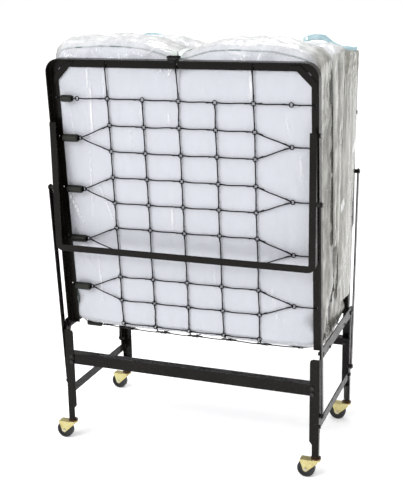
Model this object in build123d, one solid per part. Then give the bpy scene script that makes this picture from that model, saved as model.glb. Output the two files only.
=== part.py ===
from build123d import *
import os
import math

# Folding rollaway cot, folded and standing on its four casters.
# +X runs across the bed's width, +Y from the front half to the rear half, +Z up.
# The floor is at Z = 0.  All sizes in millimetres.

os.makedirs("parts", exist_ok=True)

# ---------------------------------------------------------------- driving sizes
half_w = 381.0          # half of the 30 in frame width, outside of the deck rails
deck_lean = 4.0         # each folded half leans outwards by this many degrees
pivot_y = 173.0         # deck pivot, distance from the middle plane
pivot_z = 358.0         # deck pivot height, which is the open deck's height
rail_top = 784.5        # deck pivot to the outside of the end rail
rail_wall = 26.0        # outer flange of the deck angle, pointing to the deck's underside
rail_face = 25.0        # inner flange of the deck angle, which carries the net
rail_thk = 2.5
pivot_t = 19.0          # deck pivot below the net face of the deck angle
corner_r = 38.0         # outside corner radius of the deck frame
leg_thk = 2.6
leg_out = half_w + 0.4 + leg_thk      # outside of the base legs
leg_face_y = 200.0      # outside of the base legs, front to middle plane
leg_w = 26.5            # leg flange seen from the front
leg_bottom = 64.0
leg_top = 349.6
bar_thk = 3.0
link_gap = 0.4
link_thk = 3.0
link_w = 18.0
end_leg_out = 377.5     # outside half width of the end leg
end_leg_w = 18.5
end_leg_depth = 24.0
end_leg_pivot = 602.0   # along the deck, deck pivot to end leg pivot
link_drop = 176.0       # pivot spacing on the base leg and on the end leg
link_offset = 10.0      # the link pivots stand this much further out
bolt_r = 3.0
run_r = 3.06            # holes that turn on a bolt
fix_r = 3.0             # holes that are clamped
wire_r = 1.6
net_t = -5.0            # net wires, below the net face
row_pitch = 73.4
first_row = 675.0
columns = [-209.9, -107.5, -5.0, 98.5, 204.1]
ring_x = 304.0
hole_x = 367.0
wheel_r = 25.0
wheel_w = 18.0
caster_trail = 27.0
stem_in = 8.7           # stem axis from the leg's two outer faces
mattress_t = 158.0
mattress_half_w = 370.0
x_shift = 16.55         # puts the middle of the overall width at X = 0

LEAN = math.radians(deck_lean)
bar_in, bar_out = leg_out, leg_out + bar_thk
link_in, link_out = bar_out + link_gap, bar_out + link_gap + link_thk

P0 = (-pivot_y, pivot_z)
P3 = (-pivot_y - link_offset, pivot_z - link_drop)
P1 = (-pivot_y - end_leg_pivot * math.sin(LEAN), pivot_z + end_leg_pivot * math.cos(LEAN))
P2 = (P1[0] - link_offset, P1[1] - link_drop)
stem_x, stem_y = leg_out - stem_in, leg_face_y - stem_in

PARTS = {}


def put(name, shape):
    PARTS[name] = shape


def as_list(shape):
    return list(shape) if isinstance(shape, (list, tuple)) else [shape]


# ---------------------------------------------------------------- helpers
def box(x0, x1, y0, y1, z0, z1):
    return Pos((x0 + x1) / 2, (y0 + y1) / 2, (z0 + z1) / 2) * Box(abs(x1 - x0), abs(y1 - y0), abs(z1 - z0))


def cyl_x(x0, x1, y, z, r):
    return Pos((x0 + x1) / 2, y, z) * Rot(0, 90, 0) * Cylinder(r, abs(x1 - x0))


def cyl_y(x, y0, y1, z, r):
    return Pos(x, (y0 + y1) / 2, z) * Rot(90, 0, 0) * Cylinder(r, abs(y1 - y0))


def cyl_z(x, y, z0, z1, r):
    return Pos(x, y, (z0 + z1) / 2) * Cylinder(r, abs(z1 - z0))


def rod(a, b, r):
    """Round bar from point a to point b."""
    a, b = Vector(*a), Vector(*b)
    d = b - a
    pl = Plane(origin=(a + b) * 0.5, z_dir=d)
    return pl * Cylinder(r, d.length)


def prism_x(points_yz, x0, x1):
    """Polygon in the YZ plane, extruded along X."""
    f = Plane.YZ * Polygon(*points_yz, align=None)
    return Pos(min(x0, x1), 0, 0) * extrude(f, abs(x1 - x0), dir=(1, 0, 0))


def prism_y(points_xz, y0, y1):
    """Polygon in the XZ plane, extruded along Y."""
    f = Plane(origin=(0, 0, 0), x_dir=(1, 0, 0), z_dir=(0, -1, 0)) * Polygon(*points_xz, align=None)
    return Pos(0, min(y0, y1), 0) * extrude(f, abs(y1 - y0), dir=(0, 1, 0))


def mir_x(s):
    return mirror(s, about=Plane.YZ)


def mir_y(s):
    return mirror(s, about=Plane.XZ)


def bolt_x(y, z, x_nut0, x_nut1, x_head0, x_head1, r=bolt_r, head_r=6.0, nut_r=5.5, extra=None):
    """Bolt along X with its nut, for the right side."""
    s = cyl_x(x_nut0, x_head1, y, z, r)
    s = s + Pos(0, 0, 0) * cyl_x(x_head0, x_head1, y, z, head_r)
    nut = Pos(x_nut0, y, z) * Rot(0, 90, 0) * extrude(RegularPolygon(nut_r, 6), x_nut1 - x_nut0)
    s = s + nut
    if extra is not None:
        s = s + extra
    return s


def lean(s):
    """From the upright drawing position of the front deck to its folded position."""
    return s.rotate(Axis((0, P0[0], P0[1]), (1, 0, 0)), deck_lean)


def dy(t):
    """Y of a deck depth t, measured from the net face, in the upright drawing position."""
    return P0[0] + pivot_t + t


def dz(s):
    return P0[1] + s


# ---------------------------------------------------------------- deck half (front)
def u_band(hw, top, bottom, radius, width, y0, y1):
    """Inverted U band in the XZ plane: outside half width hw, band width 'width'."""
    def outline(h, t, b, r):
        rect = Pos(0, (t + b) / 2) * Rectangle(2 * h, t - b)
        if r > 0.5:
            vs = rect.vertices().sort_by(Axis.Y)[-2:]
            rect = fillet(vs, r)
        return rect
    face = outline(hw, top, bottom, radius) - outline(hw - width, top - width, bottom - 5, max(radius - width, 0.0) or 3.0)
    pl = Plane(origin=(0, 0, 0), x_dir=(1, 0, 0), z_dir=(0, -1, 0))
    return Pos(0, min(y0, y1), 0) * extrude(pl * face, abs(y1 - y0), dir=(0, 1, 0))


def deck_frame():
    wall = u_band(half_w, dz(rail_top), dz(-9.0), corner_r, rail_thk, dy(-rail_wall), dy(0))
    face = u_band(half_w, dz(rail_top), dz(1.0), corner_r, rail_face, dy(-rail_thk), dy(0))
    f = wall + face
    # lower rail ends are cut back round the pivot
    for sx in (1, -1):
        cut = prism_x([(dy(-rail_wall) - 2, dz(-12)), (dy(-rail_wall) - 2, dz(-2)), (dy(-rail_wall) + 5, dz(-12))],
                      sx * (half_w - 5), sx * (half_w + 5))
        cut2 = prism_x([(dy(2), dz(-12)), (dy(2), dz(4)), (dy(-12), dz(-12))], sx * (half_w - rail_thk - 0.0), sx * (half_w + 5))
        f = f - cut - cut2
        f = f - cyl_x(sx * (half_w - 6), sx * (half_w + 2), P0[0], P0[1], run_r)
        f = f - cyl_x(sx * (half_w - 6), sx * (half_w + 2), P0[0], P0[1] + end_leg_pivot, fix_r)
    for s in spring_rows:
        for sx in (1, -1):
            f = f - cyl_y(sx * hole_x, dy(-6), dy(2), dz(s), 2.6)
    for x in (columns[0], columns[2], columns[4]):
        f = f - cyl_y(x, dy(-6), dy(2), dz(rail_top - 12.5), 2.6)
    return f


rows = [first_row - row_pitch * i for i in range(10)]
spring_rows = [rows[0]] + [(rows[i] + rows[i + 1]) / 2 for i in (1, 3, 5, 7)]


def corner_gussets():
    out = []
    t = rail_top
    pts = [(303.5, t - 9.5), (328.5, t - 9.5), (372.0, t - 53.0), (372.0, t - 78.0)]
    g = prism_y([(x, dz(s)) for x, s in pts], dy(-rail_thk - 2.5), dy(-rail_thk))
    out.append(g)
    out.append(mir_x(g))
    return out


def link_net():
    """The net of wire links of one deck half, as one open grille."""
    y = dy(net_t)
    parts = []
    for i, s in enumerate(rows):
        z = dz(s)
        parts.append(rod((columns[0], y, z), (columns[4], y, z), wire_r))
    for j, x in enumerate(columns):
        top = dz(rail_top - 12.5) if j in (0, 2, 4) else dz(rows[0])
        parts.append(rod((x, y, dz(rows[-1])), (x, y, top), wire_r + 0.05))
        if j in (0, 2, 4):
            parts.append(rod((x, y - 1.0, top), (x, dy(0.2), top), wire_r + 0.1))
    for s in rows:
        for x in columns:
            parts.append(cyl_y(x, y - 2.2, y + 2.2, dz(s), 6.0))
    # left ends: single row to its spring, row pairs to one spring
    def side(sx, xe):
        yr = y - 4.0 if sx < 0 else y
        q = []
        xc = columns[0] if sx < 0 else columns[4]
        q.append(rod((xc, y, dz(rows[0])), (xe, yr, dz(spring_rows[0])), wire_r + 0.1))
        for k, i in enumerate((1, 3, 5, 7)):
            for r in (i, i + 1):
                q.append(rod((xc, y, dz(rows[r])), (xe, yr, dz(spring_rows[k + 1])), wire_r + 0.1))
        for s in spring_rows:
            q.append(cyl_y(xe, yr - 2.3, yr + 2.3, dz(s), 6.5))
        if sx > 0:
            for s in spring_rows:
                q.append(rod((xe, y, dz(s)), (hole_x, y, dz(s)), wire_r + 0.15))
                q.append(rod((hole_x, y - 1.0, dz(s)), (hole_x, dy(0.2), dz(s)), wire_r + 0.1))
        return q
    parts += side(-1, -ring_x + 3.0)
    parts += side(1, ring_x)
    return parts[0].fuse(*parts[1:])


def springs_and_sleeves(xs=-1):
    springs, sleeves = [], []
    for k, s in enumerate(spring_rows):
        z = dz(s)
        L = 41.0 if k == 0 else 52.0
        x1 = -355.0 if k == 0 else -358.0
        R = 8.5 if k == 0 else 10.2
        yc = dy(-R - 3.4)
        coil = cyl_x(x1 + 2, x1 + L - 2, yc, z, R - 2.2)
        wire_in = rod((x1 + 4, yc, z), (-hole_x, dy(net_t - 0.6), z), 1.5)
        pin = rod((-hole_x, dy(net_t - 1.6), z), (-hole_x, dy(0.2), z), 1.6)
        end = rod((x1 + L - 4, yc, z), (-ring_x + 3.0 - 8.2, dy(net_t - 4.3), z), 1.5)
        springs.append(coil + wire_in + pin + end)
        tube = cyl_x(x1, x1 + L, yc, z, R) - cyl_x(x1 - 1, x1 + L + 1, yc, z, R - 2.1)
        sleeves.append(tube)
    return springs, sleeves


def end_leg():
    y0 = P1[0] - 17.0
    top = P1[1] + 8.5
    bottom = P1[1] - (pivot_z - 0.4)
    hw, w = end_leg_out, end_leg_w
    def band(width, ya, yb):
        def outline(h, tt, b, r):
            rect = Pos(0, (tt + b) / 2) * Rectangle(2 * h, tt - b)
            vs = rect.vertices().sort_by(Axis.Y)[:2]
            return fillet(vs, r)
        face = outline(hw, top, bottom, 22.0) - outline(hw - width, top + 5, bottom + width, max(22.0 - width, 3.0))
        pl = Plane(origin=(0, 0, 0), x_dir=(1, 0, 0), z_dir=(0, -1, 0))
        return Pos(0, ya, 0) * extrude(pl * face, yb - ya, dir=(0, 1, 0))
    leg = band(w, y0, y0 + 2.5) + band(2.5, y0, y0 + end_leg_depth)
    for sx in (1, -1):
        leg = leg - cyl_x(sx * (hw - 6), sx * (hw + 2), P1[0], P1[1], run_r)
        leg = leg - cyl_x(sx * (hw - 6), sx * (hw + 2), P2[0], P2[1], fix_r)
        # rounded upper ends
        leg = leg - prism_x([(y0 + end_leg_depth + 1, top - 7), (y0 + end_leg_depth + 1, top + 1), (y0 + end_leg_depth - 7, top + 1)],
                            sx * (hw - 4), sx * (hw + 1))
    return leg


def link_bar():
    dyv, dzv = P2[0] - P3[0], P2[1] - P3[1]
    L = math.hypot(dyv, dzv)
    ang = math.degrees(math.atan2(dzv, dyv))
    prof = Rectangle(L, link_w) + Pos(L / 2, 0) * Circle(link_w / 2) + Pos(-L / 2, 0) * Circle(link_w / 2)
    prof = prof - Pos(L / 2, 0) * Circle(run_r) - Pos(-L / 2, 0) * Circle(run_r)
    pl = Plane(origin=(link_in, (P2[0] + P3[0]) / 2, (P2[1] + P3[1]) / 2), x_dir=(0, dyv / L, dzv / L), z_dir=(1, 0, 0))
    return extrude(pl * prof, link_thk)


frame_v = deck_frame()
net_v = link_net()
springs_v, sleeves_v = springs_and_sleeves()

p1v = (P0[0], P0[1] + end_leg_pivot)
leg_bolts_v = []
b = bolt_x(p1v[0], p1v[1], 370.6, 374.8, half_w, half_w + 3.4,
           extra=cyl_x(end_leg_out + 0.15, half_w - rail_thk, p1v[0], p1v[1], 5.6))
leg_bolts_v = [b, mir_x(b)]

matt_v = box(-mattress_half_w, mattress_half_w, dy(0.5), dy(mattress_t), dz(145.0), dz(817.0))
matt_v = fillet(matt_v.edges().filter_by(Axis.Y), 28.0)
matt_v = fillet(matt_v.edges().filter_by(Axis.X).group_by(Axis.Z)[-1], 22.0)

# retaining strap: a light elastic band over the folded mattress, with a hook on each end rail
strap_c, strap_w, strap_t = -8.0, 24.0, 1.5
hook_w = 36.0
hp = [(-28.8, 769.0), (-28.8, 792.0), (-25.0, 796.5), (-16.0, 796.5), (-11.0, 788.5), (-3.5, 788.5), (-3.5, 785.0),
      (-26.4, 785.0), (-26.4, 769.0)]
hook_v = prism_x([(dy(t), dz(s)) for t, s in hp], strap_c - hook_w / 2, strap_c + hook_w / 2)


for side, flip in (("front", lambda s: s), ("rear", mir_y)):
    def L(shape, f=flip):
        return [f(lean(q)) for q in as_list(shape)]
    put(side + "_deck_frame", L(frame_v))
    put(side + "_corner_gussets", L(corner_gussets()))
    put(side + "_link_net", L(net_v))
    put(side + "_net_springs", L(springs_v))
    put(side + "_spring_sleeves", L(sleeves_v))
    put(side + "_end_leg_bolts", L(leg_bolts_v))
    put("mattress_" + side + "_half", L(matt_v))

    el = end_leg()
    put(side + "_end_leg", [flip(el)])
    lb = bolt_x(P2[0], P2[1], 370.6, 375.0, link_out + 0.2, link_out + 3.6, nut_r=4.4,
                extra=cyl_x(end_leg_out, link_in - 0.2, P2[0], P2[1], 6.0))
    put(side + "_link_bolts", [flip(lb), flip(mir_x(lb))])
    bar = link_bar()
    put(side + "_link_bar_right", [flip(bar)])
    put(side + "_link_bar_left", [flip(mir_x(bar))])

# strap: one half rides on each deck, and they meet at the middle plane
def leaned(t, q):
    """Folded position (y, z) of a deck point at depth t and distance q along the deck."""
    ry, rz = dy(t) - P0[0], dz(q) - P0[1]
    return (P0[0] + ry * math.cos(LEAN) - rz * math.sin(LEAN), P0[1] + ry * math.sin(LEAN) + rz * math.cos(LEAN))


def ribbon(points, th, x0, x1):
    """Band of thickness th along a path in the YZ plane."""
    up, dn = [], []
    n = len(points)
    for i, (y, z) in enumerate(points):
        a = points[max(i - 1, 0)]
        b = points[min(i + 1, n - 1)]
        d = Vector(b[0] - a[0], b[1] - a[1], 0).normalized()
        k = 1.0
        if 0 < i < n - 1:
            e = Vector(y - a[0], z - a[1], 0).normalized()
            k = 1.0 / max(0.5, abs(d.X * e.X + d.Y * e.Y))
        up.append((y - d.Y * th / 2 * k, z + d.X * th / 2 * k))
        dn.append((y + d.Y * th / 2 * k, z - d.X * th / 2 * k))
    return prism_x(up + dn[::-1], x0, x1)


path = [leaned(*q) for q in ((-24.5, 797.4), (-15.5, 797.4), (-3.6, 816.4), (1.5, 820.4), (157.0, 820.4))]
path = path + [(-60.0, path[-1][1] + 0.3), (-0.3, path[-1][1] + 0.3)]
strap_front = ribbon(path, strap_t, strap_c - strap_w / 2, strap_c + strap_w / 2)
put("retaining_strap_front", [strap_front])
put("retaining_strap_rear", [mir_y(strap_front)])
hook = lean(hook_v)
put("strap_hook_front", [hook])
put("strap_hook_rear", [mir_y(hook)])

# ---------------------------------------------------------------- base frame
low_bar_z, low_bar_bolt_y = 152.0, 188.5      # lower side bars: inside the leg walls, below the link pivots


def base_leg():
    """Front right leg: one angle, narrowed above the caster."""
    xi, xo = leg_out - leg_w, leg_out
    pts = [(xi + 7.5, leg_bottom), (xo, leg_bottom), (xo, leg_top), (xi + 9, leg_top), (xi + 2.5, leg_top - 3), (xi, leg_top - 9),
           (xi, 110.0), (xi + 7.5, 100.0)]
    face = prism_y(pts, -leg_face_y, -leg_face_y + leg_thk)
    y0 = -leg_face_y
    side = [(y0, leg_bottom), (y0 + 13, leg_bottom), (y0 + 13, 128.0), (y0 + 27, 166.0), (y0 + 27, 330.0), (y0 + 38, 344.0),
            (y0 + 38, 366.0), (y0 + 34, 371.0), (y0 + 19, 371.0), (y0 + 14, 366.0), (y0 + 8, leg_top), (y0, leg_top)]
    wall = prism_x(side, xo - leg_thk, xo)
    leg = face + wall
    leg = leg - cyl_x(xo - 5, xo + 1, P0[0], P0[1], fix_r) - cyl_x(xo - 5, xo + 1, P3[0], P3[1], fix_r)
    for z in (249.0, 266.8):
        leg = leg - cyl_y(365.0, -leg_face_y - 1, -leg_face_y + 5, z, fix_r)
    leg = leg - cyl_x(xo - 5, xo + 1, -low_bar_bolt_y, low_bar_z, fix_r)
    return leg


leg = base_leg()
put("leg_front_right", [leg])
put("leg_front_left", [mir_x(leg)])
put("leg_rear_right", [mir_y(leg)])
put("leg_rear_left", [mir_y(mir_x(leg))])

rail_y0 = -leg_face_y + leg_thk
cross = box(-380.0, 380.0, rail_y0, rail_y0 + 2.5, 243.0, 275.0) + box(-380.0, 380.0, rail_y0, rail_y0 + 28.0, 272.5, 275.0)
for x in (365.0, -365.0):
    for z in (249.0, 266.8):
        cross = cross - cyl_y(x, rail_y0 - 1, rail_y0 + 5, z, fix_r)
put("cross_rail_front", [cross])
put("cross_rail_rear", [mir_y(cross)])

bolts = []
for x in (365.0, -365.0):
    for z in (249.0, 266.8):
        h = cyl_y(x, -leg_face_y - 3.4, -leg_face_y, z, 5.5) + cyl_y(x, -leg_face_y - 1, rail_y0 + 7.0, z, bolt_r)
        h = h + Pos(x, rail_y0 + 2.5, z) * Rot(-90, 0, 0) * extrude(RegularPolygon(5.2, 6), 3.4)
        bolts += [h, mir_y(h)]
put("cross_rail_bolts", bolts)

def side_bar(z0, z1, yh, zh, ye):
    s = box(bar_in, bar_out, -ye, ye, z0, z1)
    s = fillet(s.edges().filter_by(Axis.X), 6.0)
    for y in (yh, -yh):
        s = s - cyl_x(bar_in - 1, bar_out + 1, y, zh, fix_r)
    return s

up = side_bar(345.5, 377.5, P0[0], P0[1], 188.0)
up = up - cyl_x(bar_in - 1, bar_out + 1, -92.0, 352.5, 2.2) - cyl_x(bar_in - 1, bar_out + 1, 92.0, 352.5, 2.2)
put("side_bar_upper_right", [up])
put("side_bar_upper_left", [mir_x(up)])
low_out = leg_out - leg_thk
low = box(low_out - bar_thk, low_out, -196.0, 196.0, low_bar_z - 12.5, low_bar_z + 12.5)
low = fillet(low.edges().filter_by(Axis.X), 6.0)
for y in (low_bar_bolt_y, -low_bar_bolt_y):
    low = low - cyl_x(low_out - bar_thk - 1, low_out + 1, y, low_bar_z, fix_r)
put("side_bar_lower_right", [low])
put("side_bar_lower_left", [mir_x(low)])

pb = bolt_x(P0[0], P0[1], 373.6, 378.2, bar_out, bar_out + 3.6)
put("deck_pivot_bolts", [pb, mir_x(pb), mir_y(pb), mir_y(mir_x(pb))])
ab = bolt_x(P3[0], P3[1], leg_out - leg_thk - 4.4, leg_out - leg_thk, link_out + 0.2, link_out + 3.6,
            extra=cyl_x(leg_out, link_in - 0.2, P3[0], P3[1], 6.0))
sb = bolt_x(-low_bar_bolt_y, low_bar_z, low_out - bar_thk - 3.8, low_out - bar_thk, leg_out, leg_out + 3.0, head_r=5.2, nut_r=5.0)
put("link_anchor_bolts", [q for b in (ab, sb) for q in (b, mir_x(b), mir_y(b), mir_y(mir_x(b)))])

# caster sockets, stems and races
sock = cyl_z(stem_x, -stem_y, leg_bottom, 112.0, 6.05) - cyl_z(stem_x, -stem_y, leg_bottom - 1, 113.0, 4.8)
stem = cyl_z(stem_x, -stem_y, 50.2, 108.0, 4.75) + cyl_z(stem_x, -stem_y, 49.4, 51.1, 6.6)
race = cyl_z(stem_x, -stem_y, 56.2, 60.4, 14.0) + cyl_z(stem_x, -stem_y, 60.3, leg_bottom - 0.2, 8.5)
race = race - cyl_z(stem_x, -stem_y, 50.0, 70.0, 4.8)
def four(s):
    return [s, mir_x(s), mir_y(s), mir_y(mir_x(s))]
put("caster_stem_sockets", four(sock))
put("caster_stems", four(stem))
put("caster_raceways", four(race))

# casters, all trailing towards -X
def fork():
    """Fork of one caster about its own stem axis."""
    plate = box(-43.0, 8.0, -12.2, 12.2, 51.5, 53.5) + cyl_z(0, 0, 51.5, 55.9, 13.5)
    arm_pts = [(-43.0, 53.5), (8.0, 53.5), (6.0, 46.0), (-8.0, 33.0), (-20.6, 21.6), (-24.0, 18.2), (-30.0, 18.2), (-33.8, 22.0),
               (-38.0, 36.0), (-43.0, 48.0)]
    arm = prism_y(arm_pts, 10.2, 12.2)
    f = plate + arm + mir_y(arm)
    f = f - cyl_z(0, 0, 45, 60, 4.82)
    f = f - cyl_y(-caster_trail, -14, 14, 25.0, 3.0)
    return f


def axle():
    return cyl_y(-caster_trail, -13.4, 13.4, 25.0, 3.0) + cyl_y(-caster_trail, -14.0, -12.2, 25.0, 4.6) + \
        cyl_y(-caster_trail, 12.2, 14.0, 25.0, 4.6)


def wheel():
    w = cyl_y(-caster_trail, -wheel_w / 2, wheel_w / 2, wheel_r, wheel_r)
    w = fillet(w.edges().filter_by(GeomType.CIRCLE), 3.0)
    for sgn in (1, -1):
        ring_cut = cyl_y(-caster_trail, sgn * (wheel_w / 2 - 2.6), sgn * (wheel_w / 2 + 1), wheel_r, 18.5) - \
            cyl_y(-caster_trail, sgn * (wheel_w / 2 - 4), sgn * (wheel_w / 2 + 2), wheel_r, 7.5)
        w = w - ring_cut
    w = w - cyl_y(-caster_trail, -wheel_w, wheel_w, wheel_r, 3.08)
    return w


fk_s, ax_s, wh_s = fork(), axle(), wheel()
for nm, sx, sy in (("front_left", -1, -1), ("front_right", 1, -1), ("rear_left", -1, 1), ("rear_right", 1, 1)):
    at = Pos(sx * stem_x, sy * stem_y, 0)
    put("caster_fork_" + nm, [at * fk_s])
    put("caster_axle_" + nm, [at * ax_s])
    put("caster_wheel_" + nm, [at * wh_s])

# ---------------------------------------------------------------- slack net and mattress fold in the base
sag = [(-113.0, 341.0), (-41.0, 327.0), (41.0, 327.0), (113.0, 341.0)]
cn = []
for y, z in sag:
    cn.append(rod((columns[0], y, z), (columns[4], y, z), wire_r))
for x in columns:
    for (ya, za), (yb, zb) in zip(sag[:-1], sag[1:]):
        cn.append(rod((x, ya, za), (x, yb, zb), wire_r + 0.05))
    for sgn in (-1, 1):
        cn.append(rod((x, sgn * 113.0, 341.0), (x, sgn * 140.0, 360.0), wire_r + 0.05))
    for y, z in sag:
        cn.append(cyl_z(x, y, z - 2.2, z + 2.2, 6.0))
for sgn in (-1, 1):
    for sx in (-1, 1):
        xc = columns[0] if sx < 0 else columns[4]
        xe = sx * (ring_x - (3.0 if sx < 0 else 0.0))
        cn.append(rod((xc, sgn * 113.0, 341.0), (xe, sgn * 96.0, 338.0), wire_r + 0.1))
        cn.append(rod((xc, sgn * 41.0, 327.0), (xe, sgn * 96.0, 338.0), wire_r + 0.1))
        cn.append(cyl_z(xe, sgn * 96.0, 335.7, 340.3, 6.5))
        if sx > 0:
            cn.append(rod((xe, sgn * 96.0, 338.0), (380.0, sgn * 92.0, 352.5), wire_r + 0.1))
            cn.append(cyl_x(379.0, bar_out + 1.0, sgn * 92.0, 352.5, 1.9))
center_net = cn[0].fuse(*cn[1:])
put("center_link_net", [center_net])

cs, csl = [], []
for sgn in (-1, 1):
    y, z = sgn * 94.0, 338.0
    x1, Lc, R = -360.0, 46.0, 9.0
    s = cyl_x(x1 + 2, x1 + Lc - 2, y, z, R - 2.2)
    s = s + rod((x1 + 4, y, z), (-379.0, sgn * 92.0, 352.0), 1.5) + cyl_x(-380.0, -bar_out - 1.0, sgn * 92.0, 352.5, 1.9)
    s = s + rod((x1 + Lc - 4, y, z), (-ring_x - 5.4, sgn * 95.8, 338.0), 1.5)
    cs.append(s)
    csl.append(cyl_x(x1, x1 + Lc, y, z, R) - cyl_x(x1 - 1, x1 + Lc + 1, y, z, R - 2.1))
put("center_net_springs", cs)
put("center_spring_sleeves", csl)

fold = box(-mattress_half_w, mattress_half_w, -149.0, 149.0, 352.0, 499.0)
fold = fillet(fold.edges().filter_by(Axis.X).group_by(Axis.Z)[0], 55.0)
fold = fillet(fold.edges().filter_by(Axis.Z), 20.0)
put("mattress_fold", [fold])

# ---------------------------------------------------------------- write
shift = Location((x_shift, 0, 0))
lo, hi = [1e9] * 3, [-1e9] * 3
for name, shapes in PARTS.items():
    solids = []
    for s in as_list(shapes):
        solids += [q for q in s.moved(shift).solids()]
    comp = solids[0] if len(solids) == 1 else Compound(children=solids)
    comp.label = name
    export_step(comp, "parts/" + name + ".step")
    bb = comp.bounding_box()
    for i, (u, v) in enumerate(zip((bb.min.X, bb.min.Y, bb.min.Z), (bb.max.X, bb.max.Y, bb.max.Z))):
        lo[i], hi[i] = min(lo[i], u), max(hi[i], v)
print("nodes", len(PARTS), "box", [round(v, 2) for v in lo], [round(v, 2) for v in hi])
print("P0", P0, "P1", P1, "P2", P2, "P3", P3, "stem", stem_x, stem_y)
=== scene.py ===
import math
import bpy
import bmesh
import numpy as np
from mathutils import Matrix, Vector
from mathutils.bvhtree import BVHTree


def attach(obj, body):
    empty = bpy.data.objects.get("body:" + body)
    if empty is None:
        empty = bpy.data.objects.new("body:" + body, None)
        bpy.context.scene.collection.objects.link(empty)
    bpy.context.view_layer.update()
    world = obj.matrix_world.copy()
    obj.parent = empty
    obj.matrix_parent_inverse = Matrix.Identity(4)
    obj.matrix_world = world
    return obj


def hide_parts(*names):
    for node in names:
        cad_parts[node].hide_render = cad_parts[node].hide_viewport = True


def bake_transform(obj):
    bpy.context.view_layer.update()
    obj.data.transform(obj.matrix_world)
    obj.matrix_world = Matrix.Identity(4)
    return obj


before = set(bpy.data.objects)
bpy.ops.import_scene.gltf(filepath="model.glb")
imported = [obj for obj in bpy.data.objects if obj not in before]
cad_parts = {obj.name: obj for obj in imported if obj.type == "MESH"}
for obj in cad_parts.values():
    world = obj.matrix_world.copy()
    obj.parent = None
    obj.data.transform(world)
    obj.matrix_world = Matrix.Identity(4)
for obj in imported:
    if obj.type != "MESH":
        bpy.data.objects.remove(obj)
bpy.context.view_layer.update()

scene = bpy.context.scene
MM = 0.001
XS = 16.55
LEAN = math.radians(4.0)
CN, SN = math.cos(LEAN), math.sin(LEAN)


# ---------------------------------------------------------------- frame helpers
def dk(x, t, s):
    """Front deck point (mm, drawing x, depth t, distance s) at rest, in metres."""
    ry, rz = 19.0 + t, s
    return Vector(((x + XS) * MM, (-173.0 + ry * CN - rz * SN) * MM, (358.0 + ry * SN + rz * CN) * MM))


def deck_coords(co):
    """Metres in the row frame to (x, t, s) in mm for the front deck."""
    x = co[:, 0] / MM - XS
    dy = co[:, 1] / MM + 173.0
    dz = co[:, 2] / MM - 358.0
    return x, dy * CN + dz * SN - 19.0, -dy * SN + dz * CN


def from_deck(x, t, s):
    ry, rz = 19.0 + t, s
    return np.stack([(x + XS) * MM, (-173.0 + ry * CN - rz * SN) * MM, (358.0 + ry * SN + rz * CN) * MM], axis=1)


class Mesh:
    def __init__(self):
        self.v, self.f = [], []

    def tube(self, path, r, seg=8, closed=False, caps=True):
        p = [Vector(q) for q in path]
        n = len(p)
        rr = r if isinstance(r, (list, tuple)) else [r] * n
        tang = []
        for i in range(n):
            a = p[(i - 1) % n] if (closed or i > 0) else p[i]
            b = p[(i + 1) % n] if (closed or i < n - 1) else p[i]
            tang.append((b - a).normalized())
        up = Vector((0, 0, 1)) if abs(tang[0].z) < 0.9 else Vector((1, 0, 0))
        u = (up - tang[0] * up.dot(tang[0])).normalized()
        base = len(self.v)
        for i in range(n):
            u = (u - tang[i] * u.dot(tang[i]))
            if u.length < 1e-6:
                u = tang[i].orthogonal()
            u = u.normalized()
            w = tang[i].cross(u)
            for k in range(seg):
                a = 2 * math.pi * k / seg
                self.v.append(p[i] + (u * math.cos(a) + w * math.sin(a)) * rr[i])
        last = n if closed else n - 1
        for i in range(last):
            j = (i + 1) % n
            for k in range(seg):
                k2 = (k + 1) % seg
                self.f.append((base + i * seg + k, base + i * seg + k2, base + j * seg + k2, base + j * seg + k))
        if caps and not closed:
            for i, flip in ((0, True), (n - 1, False)):
                c = len(self.v)
                self.v.append(p[i] + tang[i] * (rr[i] * 0.5 * (-1 if flip else 1)))
                for k in range(seg):
                    k2 = (k + 1) % seg
                    q = (base + i * seg + k, base + i * seg + k2, c)
                    self.f.append(q[::-1] if flip else q)

    def ring(self, c, axis, R, r, seg=18, sides=7):
        a = Vector(axis).normalized()
        u = a.orthogonal().normalized()
        w = a.cross(u)
        pts = [Vector(c) + (u * math.cos(2 * math.pi * i / seg) + w * math.sin(2 * math.pi * i / seg)) * R for i in range(seg)]
        self.tube(pts, r, seg=sides, closed=True)

    def lathe(self, o, axis, prof, seg=24, closed=True):
        a = Vector(axis).normalized()
        u = a.orthogonal().normalized()
        w = a.cross(u)
        base, n = len(self.v), len(prof)
        for d, r in prof:
            for k in range(seg):
                t = 2 * math.pi * k / seg
                self.v.append(Vector(o) + a * d + (u * math.cos(t) + w * math.sin(t)) * r)
        for i in range(n if closed else n - 1):
            j = (i + 1) % n
            for k in range(seg):
                k2 = (k + 1) % seg
                self.f.append((base + i * seg + k, base + i * seg + k2, base + j * seg + k2, base + j * seg + k))

    def obj(self, name, mat, mirror=False, smooth=True):
        vs = [(v[0], -v[1], v[2]) if mirror else tuple(v) for v in self.v]
        fs = [tuple(reversed(f)) if mirror else f for f in self.f]
        me = bpy.data.meshes.new(name)
        me.from_pydata(vs, [], fs)
        bm = bmesh.new()
        bm.from_mesh(me)
        bmesh.ops.recalc_face_normals(bm, faces=bm.faces)
        bm.to_mesh(me)
        bm.free()
        o = bpy.data.objects.new(name, me)
        scene.collection.objects.link(o)
        me.materials.append(mat)
        for p in me.polygons:
            p.use_smooth = smooth
        return o


# ---------------------------------------------------------------- materials
def new_mat(name):
    m = bpy.data.materials.new(name)
    m.use_nodes = True
    nt = m.node_tree
    return m, nt, nt.nodes["Principled BSDF"]


def node(nt, kind, **kw):
    n = nt.nodes.new(kind)
    for k, v in kw.items():
        setattr(n, k, v)
    return n


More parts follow.
